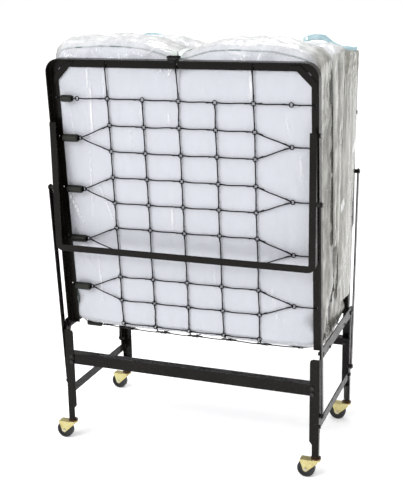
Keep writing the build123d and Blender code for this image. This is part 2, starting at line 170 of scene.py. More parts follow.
def coords(nt, scale=(1, 1, 1), rot=(0, 0, 0)):
    tc = node(nt, "ShaderNodeTexCoord")
    mp = node(nt, "ShaderNodeMapping")
    mp.inputs["Scale"].default_value = scale
    mp.inputs["Rotation"].default_value = rot
    nt.links.new(tc.outputs["Object"], mp.inputs["Vector"])
    return mp.outputs["Vector"]


def noise(nt, vec, scale, detail=4.0, rough=0.55):
    n = node(nt, "ShaderNodeTexNoise")
    n.inputs["Scale"].default_value = scale
    n.inputs["Detail"].default_value = detail
    n.inputs["Roughness"].default_value = rough
    nt.links.new(vec, n.inputs["Vector"])
    return n.outputs["Fac"]


def ramp(nt, fac, stops):
    r = node(nt, "ShaderNodeValToRGB")
    while len(r.color_ramp.elements) < len(stops):
        r.color_ramp.elements.new(0.5)
    for e, (p, c) in zip(r.color_ramp.elements, stops):
        e.position = p
        e.color = (*c, 1.0) if len(c) == 3 else c
    nt.links.new(fac, r.inputs["Fac"])
    return r.outputs["Color"]


def maprange(nt, fac, a, b, c, d):
    m = node(nt, "ShaderNodeMapRange")
    for i, v in zip((1, 2, 3, 4), (a, b, c, d)):
        m.inputs[i].default_value = v
    nt.links.new(fac, m.inputs[0])
    return m.outputs[0]


def bump(nt, bs, height, strength, dist, normal=None):
    b = node(nt, "ShaderNodeBump")
    b.inputs["Strength"].default_value = strength
    b.inputs["Distance"].default_value = dist
    nt.links.new(height, b.inputs["Height"])
    if normal is not None:
        nt.links.new(normal, b.inputs["Normal"])
    nt.links.new(b.outputs["Normal"], bs.inputs["Normal"])
    return b.outputs["Normal"]


def metal_paint(name, dark, light, r0=0.2, r1=0.42, coat=0.35, bevel=0.0012, spec=0.5, wear=(0.07, 0.065, 0.06)):
    """Enamel over steel: mottled colour, orange peel, brighter rubbed edges."""
    m, nt, bs = new_mat(name)
    v = coords(nt)
    big = noise(nt, v, 9.0, 5.0)
    fine = noise(nt, v, 420.0, 2.0)
    col = ramp(nt, big, [(0.3, dark), (0.7, light)])
    bv = node(nt, "ShaderNodeBevel", samples=6)
    bv.inputs["Radius"].default_value = bevel
    geo = node(nt, "ShaderNodeNewGeometry")
    dot = node(nt, "ShaderNodeVectorMath", operation="DOT_PRODUCT")
    nt.links.new(bv.outputs["Normal"], dot.inputs[0])
    nt.links.new(geo.outputs["Normal"], dot.inputs[1])
    edge = maprange(nt, dot.outputs["Value"], 0.985, 0.80, 0.0, 1.0)
    spots = maprange(nt, noise(nt, v, 60.0, 6.0, 0.7), 0.52, 0.66, 0.0, 1.0)
    mul = node(nt, "ShaderNodeMath", operation="MULTIPLY")
    nt.links.new(edge, mul.inputs[0])
    nt.links.new(spots, mul.inputs[1])
    mix = node(nt, "ShaderNodeMix", data_type="RGBA")
    nt.links.new(mul.outputs[0], mix.inputs[0])
    nt.links.new(col, mix.inputs[6])
    mix.inputs[7].default_value = (*wear, 1)
    nt.links.new(mix.outputs[2], bs.inputs["Base Color"])
    rg = maprange(nt, noise(nt, v, 35.0, 6.0), 0.3, 0.7, r0, r1)
    nt.links.new(rg, bs.inputs["Roughness"])
    bs.inputs["Specular IOR Level"].default_value = spec
    bs.inputs["IOR"].default_value = 1.24
    bs.inputs["Coat Weight"].default_value = coat
    bs.inputs["Coat Roughness"].default_value = 0.12
    bump(nt, bs, fine, 0.10, 0.0004, bv.outputs["Normal"])
    return m


def plated(name, c0, c1, c2, rough=0.28, metallic=1.0):
    m, nt, bs = new_mat(name)
    v = coords(nt)
    f = noise(nt, v, 38.0, 6.0, 0.65)
    col = ramp(nt, f, [(0.28, c0), (0.5, c1), (0.74, c2)])
    nt.links.new(col, bs.inputs["Base Color"])
    bs.inputs["Metallic"].default_value = metallic
    rg = maprange(nt, noise(nt, v, 160.0, 4.0), 0.3, 0.7, rough - 0.08, rough + 0.14)
    nt.links.new(rg, bs.inputs["Roughness"])
    bv = node(nt, "ShaderNodeBevel", samples=6)
    bv.inputs["Radius"].default_value = 0.0009
    bump(nt, bs, noise(nt, coords(nt, (1, 1, 6)), 300.0, 3.0), 0.12, 0.0003, bv.outputs["Normal"])
    return m


def plastic(name, c0, c1, r0=0.35, r1=0.6, grain=900.0, spec=0.45):
    m, nt, bs = new_mat(name)
    v = coords(nt)
    col = ramp(nt, noise(nt, v, 25.0, 5.0), [(0.3, c0), (0.7, c1)])
    nt.links.new(col, bs.inputs["Base Color"])
    rg = maprange(nt, noise(nt, v, 70.0, 5.0), 0.3, 0.7, r0, r1)
    nt.links.new(rg, bs.inputs["Roughness"])
    bs.inputs["Specular IOR Level"].default_value = spec
    bv = node(nt, "ShaderNodeBevel", samples=4)
    bv.inputs["Radius"].default_value = 0.0009
    bump(nt, bs, noise(nt, v, grain, 2.0), 0.15, 0.0003, bv.outputs["Normal"])
    return m


M_FRAME = metal_paint("enamel_black", (0.0032, 0.0026, 0.0020), (0.0075, 0.0060, 0.0045), 0.16, 0.36, 0.02, 0.0014, 0.5)
M_WIRE = metal_paint("wire_black", (0.003, 0.003, 0.004), (0.007, 0.007, 0.008), 0.28, 0.5, 0.0, 0.0003, 0.5)
M_BOLT = metal_paint("bolt_black", (0.008, 0.008, 0.008), (0.03, 0.03, 0.028), 0.2, 0.36, 0.06, 0.0006, 0.6, wear=(0.16, 0.16, 0.15))
M_SLEEVE = plastic("sleeve_vinyl", (0.006, 0.008, 0.007), (0.016, 0.016, 0.012), 0.28, 0.48, 500.0, 0.3)
M_WHEEL = plastic("wheel_black", (0.010, 0.010, 0.011), (0.022, 0.021, 0.022), 0.3, 0.55, 700.0)
M_ZINC = plated("zinc_yellow", (0.42, 0.33, 0.16), (0.66, 0.58, 0.27), (0.60, 0.62, 0.34), 0.3)
M_RACE = plated("race_bronze", (0.05, 0.028, 0.022), (0.10, 0.055, 0.038), (0.28, 0.22, 0.10), 0.3)
M_STEEL = plated("steel_plated", (0.30, 0.27, 0.2), (0.55, 0.52, 0.42), (0.66, 0.64, 0.56), 0.3)
M_HOOK = plastic("hook_black", (0.004, 0.005, 0.0045), (0.010, 0.011, 0.010), 0.3, 0.5, 600.0, 0.18)


def ticking():
    """Pale woven ticking: fine plain weave, faint slub streaks, slight lavender cast."""
    m, nt, bs = new_mat("ticking_white")
    v = coords(nt)
    w1 = node(nt, "ShaderNodeTexWave", wave_type="BANDS", bands_direction="X")
    w1.inputs["Scale"].default_value = 190.0
    w1.inputs["Distortion"].default_value = 0.6
    w2 = node(nt, "ShaderNodeTexWave", wave_type="BANDS", bands_direction="Z")
    w2.inputs["Scale"].default_value = 190.0
    w2.inputs["Distortion"].default_value = 0.6
    nt.links.new(v, w1.inputs["Vector"])
    nt.links.new(v, w2.inputs["Vector"])
    mx = node(nt, "ShaderNodeMath", operation="MULTIPLY")
    nt.links.new(w1.outputs["Fac"], mx.inputs[0])
    nt.links.new(w2.outputs["Fac"], mx.inputs[1])
    slub = noise(nt, coords(nt, (60, 60, 3)), 1.0, 3.0)
    blot = noise(nt, v, 5.0, 4.0)
    add = node(nt, "ShaderNodeMath", operation="ADD")
    nt.links.new(slub, add.inputs[0])
    nt.links.new(blot, add.inputs[1])
    col = ramp(nt, add.outputs[0], [(0.35, (0.565, 0.575, 0.650)), (0.6, (0.635, 0.645, 0.705)), (0.85, (0.675, 0.685, 0.735))])
    shade = node(nt, "ShaderNodeMix", data_type="RGBA", blend_type="MULTIPLY")
    shade.inputs[0].default_value = 0.12
    nt.links.new(col, shade.inputs[6])
    nt.links.new(mx.outputs[0], shade.inputs[7])
    nt.links.new(shade.outputs[2], bs.inputs["Base Color"])
    bs.inputs["Roughness"].default_value = 0.8
    bs.inputs["Sheen Weight"].default_value = 0.15
    bs.inputs["Specular IOR Level"].default_value = 0.25
    bump(nt, bs, mx.outputs[0], 0.25, 0.0006)
    return m


def film():
    """Clear poly film: mostly see-through, milky where it is gathered (the 'cover_and_shade' layer), glossy. Where that
    layer is high the colour turns a darker grey-beige, partly the film's own grey and partly painted shade on the
    side-facing film; the 'glint' layer paints white highlights into colour and opacity.
    """
    m, nt, bs = new_mat("clear_film")
    at = node(nt, "ShaderNodeAttribute", attribute_name="cover_and_shade")
    streak = noise(nt, coords(nt, (24, 24, 9.0), (0.55, 0.1, 0)), 1.0, 6.0, 0.62)
    cloud = noise(nt, coords(nt), 14.0, 6.0, 0.65)
    s2 = maprange(nt, streak, 0.35, 0.7, -0.12, 0.14)
    c2 = maprange(nt, cloud, 0.35, 0.7, -0.10, 0.12)
    a1 = node(nt, "ShaderNodeMath", operation="ADD")
    nt.links.new(s2, a1.inputs[0])
    nt.links.new(c2, a1.inputs[1])
    sc = node(nt, "ShaderNodeMath", operation="MULTIPLY")
    nt.links.new(a1.outputs[0], sc.inputs[0])
    nt.links.new(maprange(nt, at.outputs["Fac"], 0.0, 0.5, 0.35, 1.0), sc.inputs[1])
    a2 = node(nt, "ShaderNodeMath", operation="ADD")
    nt.links.new(sc.outputs[0], a2.inputs[0])
    nt.links.new(at.outputs["Fac"], a2.inputs[1])
    lw = node(nt, "ShaderNodeLayerWeight")
    lw.inputs["Blend"].default_value = 0.25
    fr = maprange(nt, lw.outputs["Fresnel"], 0.0, 1.0, 0.0, 0.55)
    a3 = node(nt, "ShaderNodeMath", operation="ADD", use_clamp=True)
    nt.links.new(a2.outputs[0], a3.inputs[0])
    nt.links.new(fr, a3.inputs[1])
    # painted highlight: the glint layer makes the film white and more opaque
    gat = node(nt, "ShaderNodeAttribute", attribute_name="glint")
    gl = node(nt, "ShaderNodeMath", operation="MULTIPLY")
    nt.links.new(gat.outputs["Fac"], gl.inputs[0])
    nt.links.new(maprange(nt, noise(nt, coords(nt, (1, 1, 0.5)), 60.0, 3.0), 0.35, 0.6, 0.6, 1.0), gl.inputs[1])
    a4 = node(nt, "ShaderNodeMath", operation="ADD", use_clamp=True)
    nt.links.new(a3.outputs[0], a4.inputs[0])
    nt.links.new(gl.outputs[0], a4.inputs[1])
    nt.links.new(a4.outputs[0], bs.inputs["Alpha"])
    # darker grey-beige of gathered film: partly the film's own grey, partly painted shade on side-facing film
    film_grey_and_shade = ramp(nt, streak, [(0.34, (0.19, 0.19, 0.16)), (0.5, (0.275, 0.27, 0.235)), (0.66, (0.42, 0.42, 0.38))])
    clear = node(nt, "ShaderNodeMix", data_type="RGBA")
    nt.links.new(maprange(nt, at.outputs["Fac"], 0.16, 0.62, 0.0, 1.0), clear.inputs[0])
    clear.inputs[6].default_value = (0.90, 0.92, 0.95, 1)
    nt.links.new(film_grey_and_shade, clear.inputs[7])
    wh = node(nt, "ShaderNodeMix", data_type="RGBA")
    nt.links.new(gl.outputs[0], wh.inputs[0])
    nt.links.new(clear.outputs[2], wh.inputs[6])
    wh.inputs[7].default_value = (0.97, 0.98, 1.0, 1)
    nt.links.new(wh.outputs[2], bs.inputs["Base Color"])
    bs.inputs["Roughness"].default_value = 0.13
    bs.inputs["IOR"].default_value = 1.5
    bs.inputs["Specular IOR Level"].default_value = 0.6
    bs.inputs["Coat Weight"].default_value = 0.35
    bs.inputs["Coat Roughness"].default_value = 0.05
    rid = node(nt, "ShaderNodeTexVoronoi", feature="DISTANCE_TO_EDGE")
    rid.inputs["Scale"].default_value = 30.0
    nt.links.new(coords(nt, (1, 1, 0.45)), rid.inputs["Vector"])
    mixh = node(nt, "ShaderNodeMath", operation="ADD")
    nt.links.new(maprange(nt, rid.outputs["Distance"], 0.0, 0.2, 0.0, 0.6), mixh.inputs[0])
    nt.links.new(noise(nt, coords(nt, (1, 1, 0.5)), 55.0, 5.0), mixh.inputs[1])
    bump(nt, bs, mixh.outputs[0], 0.35, 0.0016)
    return m


def webbing(name, c0, c1, scale=420.0):
    m, nt, bs = new_mat(name)
    v = coords(nt)
    w1 = node(nt, "ShaderNodeTexWave", wave_type="BANDS", bands_direction="X")
    w1.inputs["Scale"].default_value = scale
    w2 = node(nt, "ShaderNodeTexWave", wave_type="BANDS", bands_direction="Y")
    w2.inputs["Scale"].default_value = scale * 0.6
    nt.links.new(v, w1.inputs["Vector"])
    nt.links.new(v, w2.inputs["Vector"])
    mx = node(nt, "ShaderNodeMath", operation="MULTIPLY")
    nt.links.new(w1.outputs["Fac"], mx.inputs[0])
    nt.links.new(w2.outputs["Fac"], mx.inputs[1])
    col = ramp(nt, mx.outputs[0], [(0.1, c0), (0.8, c1)])
    nt.links.new(col, bs.inputs["Base Color"])
    bs.inputs["Roughness"].default_value = 0.72
    bs.inputs["Sheen Weight"].default_value = 0.2
    bump(nt, bs, mx.outputs[0], 0.5, 0.0005)
    return m


M_TICK, M_FILM = ticking(), film()
M_STRAP = webbing("strap_pale", (0.52, 0.57, 0.55), (0.76, 0.80, 0.78))
M_TAPE = webbing("tape_edge", (0.10, 0.15, 0.15), (0.17, 0.23, 0.23), 260.0)


def seam_film():
    m, nt, bs = new_mat("seam_film_blue")
    v = coords(nt)
    col = ramp(nt, noise(nt, coords(nt, (8, 30, 30)), 2.0, 5.0), [(0.3, (0.16, 0.30, 0.36)), (0.55, (0.36, 0.52, 0.57)), (0.75, (0.62, 0.74, 0.77))])
    nt.links.new(col, bs.inputs["Base Color"])
    bs.inputs["Roughness"].default_value = 0.16
    bs.inputs["Alpha"].default_value = 0.82
    bs.inputs["Coat Weight"].default_value = 0.6
    bump(nt, bs, noise(nt, v, 120.0, 5.0), 0.3, 0.001)
    return m


M_SEAM = seam_film()

# materials on the CAD nodes that stay
for name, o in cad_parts.items():
    if "caster_wheel" in name:
        m = M_WHEEL
    elif "caster_fork" in name:
        m = M_ZINC
    elif "caster_raceways" in name:
        m = M_RACE
    elif "caster_stem" in name:
        m = M_BOLT
    elif "caster_axle" in name:
        m = M_STEEL
    elif "bolts" in name:
        m = M_BOLT
    elif "strap_hook" in name:
        m = M_HOOK
    elif "sleeves" in name:
        m = M_SLEEVE
    elif "net" in name:
        m = M_WIRE
    else:
        m = M_FRAME
    o.data.materials.clear()
    o.data.materials.append(m)

# ---------------------------------------------------------------- link nets
ROWS = [675.0 - 73.4 * i for i in range(10)]
COLS = [-209.9, -107.5, -5.0, 98.5, 204.1]
SPR = [ROWS[0]] + [(ROWS[i] + ROWS[i + 1]) / 2 for i in (1, 3, 5, 7)]
NT = -5.0
RING_R, RING_W, WIRE = 6.3 * MM, 1.2 * MM, 1.7 * MM
rng = np.random.RandomState(7)
NRM = Vector((0, -CN, -SN))          # towards the viewer from the front deck


def link(ms, a, b, nrm, ra=RING_R, rb=RING_R, hook_a=True, hook_b=True, wave=0.0, wire=WIRE):
    """One wire link: a shaft, a small hook round each ring and the hook's tail laid back along the shaft."""
    a, b, n = Vector(a), Vector(b), Vector(nrm).normalized()
    d = (b - a).normalized()
    side = d.cross(n).normalized()
    hr = RING_W + wire * 0.72 + 0.15 * MM
    pts = []
    sa = a + d * (ra + hr * (1 if hook_a else 0))
    sb = b - d * (rb + hr * (1 if hook_b else 0))
    L = (sb - sa).length
    k = 7
    for i in range(k + 1):
        f = i / k
        pts.append(sa.lerp(sb, f) + (side * math.sin(f * math.pi * 2) + n * math.sin(f * math.pi)) * wave)
    ms.tube(pts, wire, seg=8)
    for on, c, dd in ((hook_a, a + d * ra, d), (hook_b, b - d * rb, -d)):
        if not on:
            continue
        loop = [c + dd * hr * math.cos(u) + n * hr * math.sin(u) for u in np.linspace(0.0, math.radians(300), 12)]
        ms.tube(loop, wire * 0.72, seg=7)
        e = loop[-1]
        t0 = c + dd * (hr + 2.2 * MM) - n * (wire * 1.45)
        t1 = c + dd * (hr + 11.0 * MM) - n * (wire * 1.2) + side * (wire * 0.7)
        t2 = c + dd * (hr + 14.5 * MM) + side * (wire * 1.2)
        ms.tube([e, t0, t1, t2], [wire * 0.72, wire * 0.8, wire * 0.8, wire * 0.6], seg=7)


def helix(c, axis, R, r, length, turns, start=0.0, seg_per=14):
    a = Vector(axis).normalized()
    u = a.orthogonal().normalized()
    w = a.cross(u)
    n = int(turns * seg_per)
    return [Vector(c) + a * (length * i / n) + (u * math.cos(2 * math.pi * i / seg_per + start) + w * math.sin(2 * math.pi * i / seg_per + start)) * R
            for i in range(n + 1)]


def sleeve_profile(L, R, wall=2.0):
    """Closed profile (distance, radius) of a soft sleeve, slightly drawn in at its ends."""
    out = [(0.0, R * 0.90), (1.2, R * 0.965), (3.5, R), (L * 0.3, R * 1.012), (L * 0.55, R * 0.99), (L * 0.8, R * 1.01), (L - 6, R),
           (L - 2.4, R * 0.95), (L - 0.5, R * 0.82)]
    inn = [(L - 0.2, R * 0.66), (L - 2.5, R - wall - 1.0), (L * 0.5, R - wall), (2.5, R - wall), (0.2, R - wall + 0.4)]
    return [(d * MM, r * MM) for d, r in out + inn]


node_pos = {}
for i, s in enumerate(ROWS):
    for j, x in enumerate(COLS):
        jx, js = (rng.rand() - 0.5) * 2.4, (rng.rand() - 0.5) * 2.4
        node_pos[(j, i)] = dk(x + jx, NT, s + js)

net = Mesh()
for (j, i), p in node_pos.items():
    net.ring(p, NRM, RING_R, RING_W)
for i in range(10):
    for j in range(4):
        link(net, node_pos[(j, i)], node_pos[(j + 1, i)], NRM, wave=(0.5 + rng.rand() * 0.6) * MM)
for j in range(5):
    for i in range(9):
        link(net, node_pos[(j, i)], node_pos[(j, i + 1)], -NRM, wave=(rng.rand() - 0.3) * 1.2 * MM)
for j in (0, 2, 4):
    top = dk(COLS[j], NT - 1.2, 772.0)
    link(net, node_pos[(j, 0)], top + (node_pos[(j, 0)] - top).normalized() * 3.0 * MM, NRM, rb=0.0, hook_b=False, wave=0.5 * MM)
    net.tube([top + Vector((0, 0, -0.004)), dk(COLS[j], NT - 0.6, 774.0), dk(COLS[j], -3.4, 775.2), dk(COLS[j], -1.2, 773.9), dk(COLS[j], 0.1, 773.6)],
             [WIRE, WIRE, 1.1 * MM, 1.0 * MM, 0.9 * MM], seg=7)
    net.tube([dk(COLS[j] - 2.4, NT - 0.5, 768.0), dk(COLS[j] - 2.3, NT - 0.8, 754.0), dk(COLS[j] - 1.0, NT - 1.8, 748.0)], 1.3 * MM, seg=7)
left_rings, right_rings = [], []
for k, s in enumerate(SPR):
    rl, rr = dk(-299.5, NT - 4.0, s), dk(304.0, NT, s)
    left_rings.append(rl)
    right_rings.append(rr)
    net.ring(rl, NRM, 5.6 * MM, 1.35 * MM)
    net.ring(rr, NRM, 5.9 * MM, 1.35 * MM)
    rws = [0] if k == 0 else [2 * k - 1, 2 * k]
    for r in rws:
        link(net, rl, node_pos[(0, r)], NRM, ra=5.6 * MM, wave=0.6 * MM)
        link(net, rr, node_pos[(4, r)], NRM, ra=5.9 * MM, wave=0.6 * MM)
    link(net, rr, dk(360.5, NT - 0.2, s), NRM, ra=5.9 * MM, rb=0.0, hook_b=False, wave=0.3 * MM)
    net.tube([dk(360.0, NT - 0.2, s), dk(364.2, NT, s), dk(366.0, -3.4, s), dk(366.1, -1.4, s), dk(366.1, 0.1, s)],
             [WIRE, WIRE, 1.2 * MM, 1.0 * MM, 0.9 * MM], seg=7)

springs, sleeves = Mesh(), Mesh()
for k, s in enumerate(SPR):
    L = 33.0 if k == 0 else 46.0
    x1 = -345.0 if k == 0 else -348.5
    R = 9.6 if k == 0 else 10.8
    tc = -R - 3.4
    sleeves.lathe(dk(x1, tc, s), (1, 0, 0), sleeve_profile(L, R), seg=26)
    turns = 15 if k == 0 else 19
    hx = helix(dk(x1 + 1.5, tc, s), (1, 0, 0), (R - 3.7) * MM, 1.3 * MM, (L - 4.5) * MM, turns)
    springs.tube(hx, 1.25 * MM, seg=6)
    e = dk(x1 + L - 1.0, tc, s)
    c = left_rings[k]
    springs.tube([hx[-1], e, dk(x1 + L + 1.0, tc + 3.0, s), c + Vector((-7.4 * MM, 0, 0)) + NRM * 1.9 * MM, c + Vector((-5.0 * MM, 0, 0)) + NRM * 3.0 * MM,
                  c + Vector((-3.0 * MM, 0, 0)) + NRM * 1.4 * MM, c + Vector((-3.4 * MM, 0, 0)) - NRM * 1.8 * MM, c + Vector((-6.0 * MM, 0, 0)) - NRM * 2.6 * MM],
                 [1.25 * MM, 1.4 * MM, 1.5 * MM, 1.5 * MM, 1.35 * MM, 1.3 * MM, 1.3 * MM, 1.2 * MM], seg=7)
    springs.tube([hx[0], dk(x1 - 1.5, tc + 2.0, s), dk(-364.0, -6.5, s), dk(-365.6, -4.0, s), dk(-365.9, -1.4, s), dk(-365.9, 0.1, s)],
                 [1.25 * MM, 1.3 * MM, 1.3 * MM, 1.15 * MM, 1.0 * MM, 0.9 * MM], seg=7)

for side in ("front", "rear"):
    mir = side == "rear"
    o = net.obj("net_links_" + side, M_WIRE, mir)
    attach(o, side + "_deck"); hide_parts(side + "_link_net")
    o = springs.obj("net_spring_coils_" + side, M_WIRE, mir)
    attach(o, side + "_deck"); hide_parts(side + "_net_springs")
    o = sleeves.obj("spring_sleeves_soft_" + side, M_SLEEVE, mir)
    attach(o, side + "_deck"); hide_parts(side + "_spring_sleeves")

# slack middle of the net: it stays in the base, and bends up to each deck's last row
SAG = [(-113.0, 341.0), (-41.0, 327.0), (41.0, 327.0), (113.0, 341.0)]


def bp(x, y, z):
    return Vector(((x + XS) * MM, y * MM, z * MM))


mid = Mesh()
dn = Vector((0, 0, -1))
sag_pos = {}
for r, (y, z) in enumerate(SAG):
    for j, x in enumerate(COLS):
        sag_pos[(j, r)] = bp(x + (rng.rand() - 0.5) * 3, y + (rng.rand() - 0.5) * 3, z + (rng.rand() - 0.5) * 3)
        mid.ring(sag_pos[(j, r)], (0, 0.1, 1), RING_R, RING_W)
for r in range(4):
    for j in range(4):
        link(mid, sag_pos[(j, r)], sag_pos[(j + 1, r)], dn, wave=1.2 * MM)
for j in range(5):
    for r in range(3):
        link(mid, sag_pos[(j, r)], sag_pos[(j, r + 1)], dn, wave=1.0 * MM)
for sg in (-1, 1):
    cl, cr = bp(-301.0, sg * 96.0, 338.0), bp(304.0, sg * 96.0, 338.0)
    mid.ring(cl, (0, 0.1, 1), 5.6 * MM, 1.35 * MM)
    mid.ring(cr, (0, 0.1, 1), 5.9 * MM, 1.35 * MM)
    rr = (0, 1) if sg < 0 else (3, 2)
    for q in rr:
        link(mid, cl, sag_pos[(0, q)], dn, ra=5.6 * MM, wave=0.8 * MM)
        link(mid, cr, sag_pos[(4, q)], dn, ra=5.9 * MM, wave=0.8 * MM)
    link(mid, cr, bp(376.0, sg * 92.5, 350.5), dn, ra=5.9 * MM, rb=0, hook_b=False)
    mid.tube([bp(375.5, sg * 92.5, 350.4), bp(380.0, sg * 92.0, 352.3), bp(388.0, sg * 92.0, 352.5), bp(388.6, sg * 92.0, 350.0), bp(388.4, sg * 92.0, 345.0)],
             [WIRE, WIRE, 1.4 * MM, 1.3 * MM, 1.1 * MM], seg=7)
o = mid.obj("net_links_middle", M_WIRE)
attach(o, "base"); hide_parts("center_link_net")

cs, cl_ = Mesh(), Mesh()
for sg in (-1, 1):
    y, z, x1, Lc, R = sg * 94.0, 338.0, -360.0, 46.0, 9.0
    cl_.lathe(bp(x1, y, z), (1, 0, 0), sleeve_profile(Lc, R), seg=26)
    hx = helix(bp(x1 + 1.5, y, z), (1, 0, 0), (R - 3.6) * MM, 1.3 * MM, (Lc - 4.5) * MM, 17)
    cs.tube(hx, 1.25 * MM, seg=6)
    c = bp(-301.0, sg * 96.0, 338.0)
    cs.tube([hx[-1], bp(x1 + Lc - 1, y, z), c + Vector((-0.0078, 0, -0.0015)), c + Vector((-0.005, 0, -0.003)), c + Vector((-0.003, 0, 0.0014)), c + Vector((-0.006, 0, 0.0026))],
            [1.25 * MM, 1.4 * MM, 1.5 * MM, 1.4 * MM, 1.3 * MM, 1.2 * MM], seg=7)
    cs.tube([hx[0], bp(x1 - 2, y, z + 2), bp(-372.0, sg * 93.0, 347.0), bp(-380.0, sg * 92.0, 352.3), bp(-388.2, sg * 92.0, 352.5), bp(-388.8, sg * 92.0, 349.0)],
            [1.25 * MM, 1.3 * MM, 1.4 * MM, 1.4 * MM, 1.3 * MM, 1.1 * MM], seg=7)
o = cs.obj("middle_spring_coils", M_WIRE)
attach(o, "base"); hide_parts("center_net_springs")
o = cl_.obj("middle_sleeves_soft", M_SLEEVE)
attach(o, "base"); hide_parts("center_spring_sleeves")

cross = Mesh()
for j in range(5):
    a, b = node_pos[(j, 9)], sag_pos[(j, 0)]
    dd = (b - a).normalized()
    ctrl = [a + dd * RING_R, a.lerp(b, 0.3) + Vector((0, -0.004, -0.006)), a.lerp(b, 0.6) + Vector((0, -0.004, -0.008)), b - dd * RING_R]
    pts = []
    for f in np.linspace(0, 1, 13):
        q = [c.copy() for c in ctrl]
        while len(q) > 1:
            q = [q[n].lerp(q[n + 1], f) for n in range(len(q) - 1)]
        pts.append(q[0])
    cross.tube(pts, WIRE, seg=8)
    for c, sgn in ((a, 1), (b, -1)):
        cross.ring(c + dd * (RING_R * sgn), dd.cross(NRM).normalized(), 2.6 * MM, 1.1 * MM, seg=12, sides=6)
for side in ("front", "rear"):
    o = cross.obj("net_links_fold_" + side, M_WIRE, side == "rear")
    sg = -1 if side == "front" else 1
    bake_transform(o)


# ---------------------------------------------------------------- mattress
def smooth(a, b, v):
    t = np.clip((v - a) / (b - a), 0, 1)
    return t * t * (3 - 2 * t)


TOP_X = np.array([-380, -350, -300, -245, -171, -104, -51, -8, 30, 85, 151, 255, 311, 345, 380.0])
TOP_F = np.array([792, 814, 826, 829, 828, 823, 811, 800, 808, 820, 822, 819, 807, 794, 765.0])      # front top edge, along the deck
CRN_F = np.array([0, 0, 2, 4, 6, 6, 4, 0, 3, 8, 10, 10, 8, 4, 0.0])                                 # crown above that edge, front half
TOP_R = np.array([775, 786, 800, 811, 810, 798, 789, 786, 798, 804, 804, 796, 789, 779, 765.0])       # rear half
CRN_R = np.array([0, 4, 6, 8, 9, 8, 6, 2, 5, 8, 9, 8, 6, 4, 0.0])


def fold_section():
    """Closed outline (y, z in mm) of the front half of the folded mattress."""
    pts = [(-0.6, 340.0), (-45.0, 341.0), (-100.0, 350.0), (-135.0, 363.0), (-156.0, 380.0), (-163.0, 402.0)]
    for s in (80, 160, 240, 330, 420, 510, 600, 690, 760):
        v = dk(0, 5.0, s)
        pts.append((v.y / MM, v.z / MM))
    for t, s in ((8.0, 790.0), (22.0, 806.0), (50.0, 811.0), (80.0, 812.0), (115.0, 811.0), (138.0, 805.0), (150.0, 790.0), (153.0, 760.0)):
        v = dk(0, t, s)
        pts.append((v.y / MM, v.z / MM))
    for s in (700, 600, 500, 400, 300, 220, 175):
        v = dk(0, 153.5, s)
        pts.append((min(v.y / MM, -3.0), v.z / MM))
    pts += [(-3.0, 520.0), (-1.5, 500.0), (-0.6, 470.0), (-0.6, 410.0)]
    return pts


def build_slab(name):
    sec = fold_section()
    bm = bmesh.new()
    xs = [-356, -344, -320, -240, -160, -80, 0, 80, 160, 240, 320, 344, 356]
    inset = {-356: 0.0, -344: 1.0, 356: 0.0, 344: 1.0}
    cy, cz = -80.0, 600.0
    rows = []
    for x in xs:
        k = 12.0 if abs(x) > 350 else (3.0 if abs(x) > 340 else 0.0)
        row = []
        for y, z in sec:
            yy, zz = y, z
            if k:
                # pull the end rings in, except on the middle plane
                pull = k if y < -2 else k * 0.15
                dy_, dz_ = (cy - y), 0.0
                yy = y + math.copysign(min(pull, abs(dy_)), dy_) if y < -2 else y
                if z > 780: zz = z - k
                if z < 380: zz = z + k
            row.append(bm.verts.new(((x + XS) * MM, yy * MM, zz * MM)))
        rows.append(row)
    n = len(sec)
    for i in range(len(rows) - 1):
        for k in range(n):
            k2 = (k + 1) % n
            bm.faces.new((rows[i][k], rows[i][k2], rows[i + 1][k2], rows[i + 1][k]))
    bm.faces.new(rows[0])
    bm.faces.new(list(reversed(rows[-1])))
    bmesh.ops.recalc_face_normals(bm, faces=bm.faces)
    me = bpy.data.meshes.new(name)
    bm.to_mesh(me)
    bm.free()
    o = bpy.data.objects.new(name, me)
    scene.collection.objects.link(o)
    return o


def get_co(me):
    co = np.zeros(len(me.vertices) * 3)
    me.vertices.foreach_get("co", co)
    return co.reshape(-1, 3)


def set_co(me, co):
    me.vertices.foreach_set("co", np.asarray(co, dtype=np.float32).ravel())
    me.update()


def apply_mods(o):
    dg = bpy.context.evaluated_depsgraph_get()
    me = bpy.data.meshes.new_from_object(o.evaluated_get(dg))
    o.modifiers.clear()
    o.data = me


slab = build_slab("mattress_core")
rm = slab.modifiers.new("remesh", "REMESH")
rm.mode = "VOXEL"
rm.voxel_size = 0.0085
rm.use_smooth_shade = True
bpy.context.view_layer.update()
apply_mods(slab)
rest = get_co(slab.data).copy()
cl = slab.modifiers.new("cloth", "CLOTH")
st = cl.settings
st.quality = 4
st.mass = 0.35
st.tension_stiffness = 18
st.compression_stiffness = 18
st.shear_stiffness = 6
st.bending_stiffness = 0.6
st.use_pressure = True
st.uniform_pressure_force = 4.0
st.effector_weights.gravity = 0.0
cl.collision_settings.use_collision = False
cl.collision_settings.use_self_collision = False
scene.frame_start, scene.frame_end = 1, 20
cl.point_cache.frame_start, cl.point_cache.frame_end = 1, 20
for f in range(1, 21):
    scene.frame_set(f)
dg = bpy.context.evaluated_depsgraph_get()
swollen = bpy.data.meshes.new_from_object(slab.evaluated_get(dg))
new = get_co(swollen)
slab.modifiers.clear()
d = new - rest
L = np.linalg.norm(d, axis=1)
cap = 0.013
d *= (np.minimum(L, cap) / np.maximum(L, 1e-9))[:, None]
co = rest + d
scene.frame_set(1)

# keep the swollen form inside its own half and behind the net
x, t, s = deck_coords(co)
x = x * (369.0 / np.percentile(np.abs(x), 99.7))
keep = smooth(150.0, 260.0, s)
t_hi = np.percentile(t[(s > 300) & (s < 700)], 99.0)
t_lo = np.percentile(t[(s > 300) & (s < 700)], 1.0)
t = t * (1 - keep) + (0.6 + (t - t_lo) / (t_hi - t_lo) * 156.0) * keep
s = np.where(s > 400, 400 + (s - 400) * (815.0 - 400) / (np.percentile(s, 99.9) - 400), s)
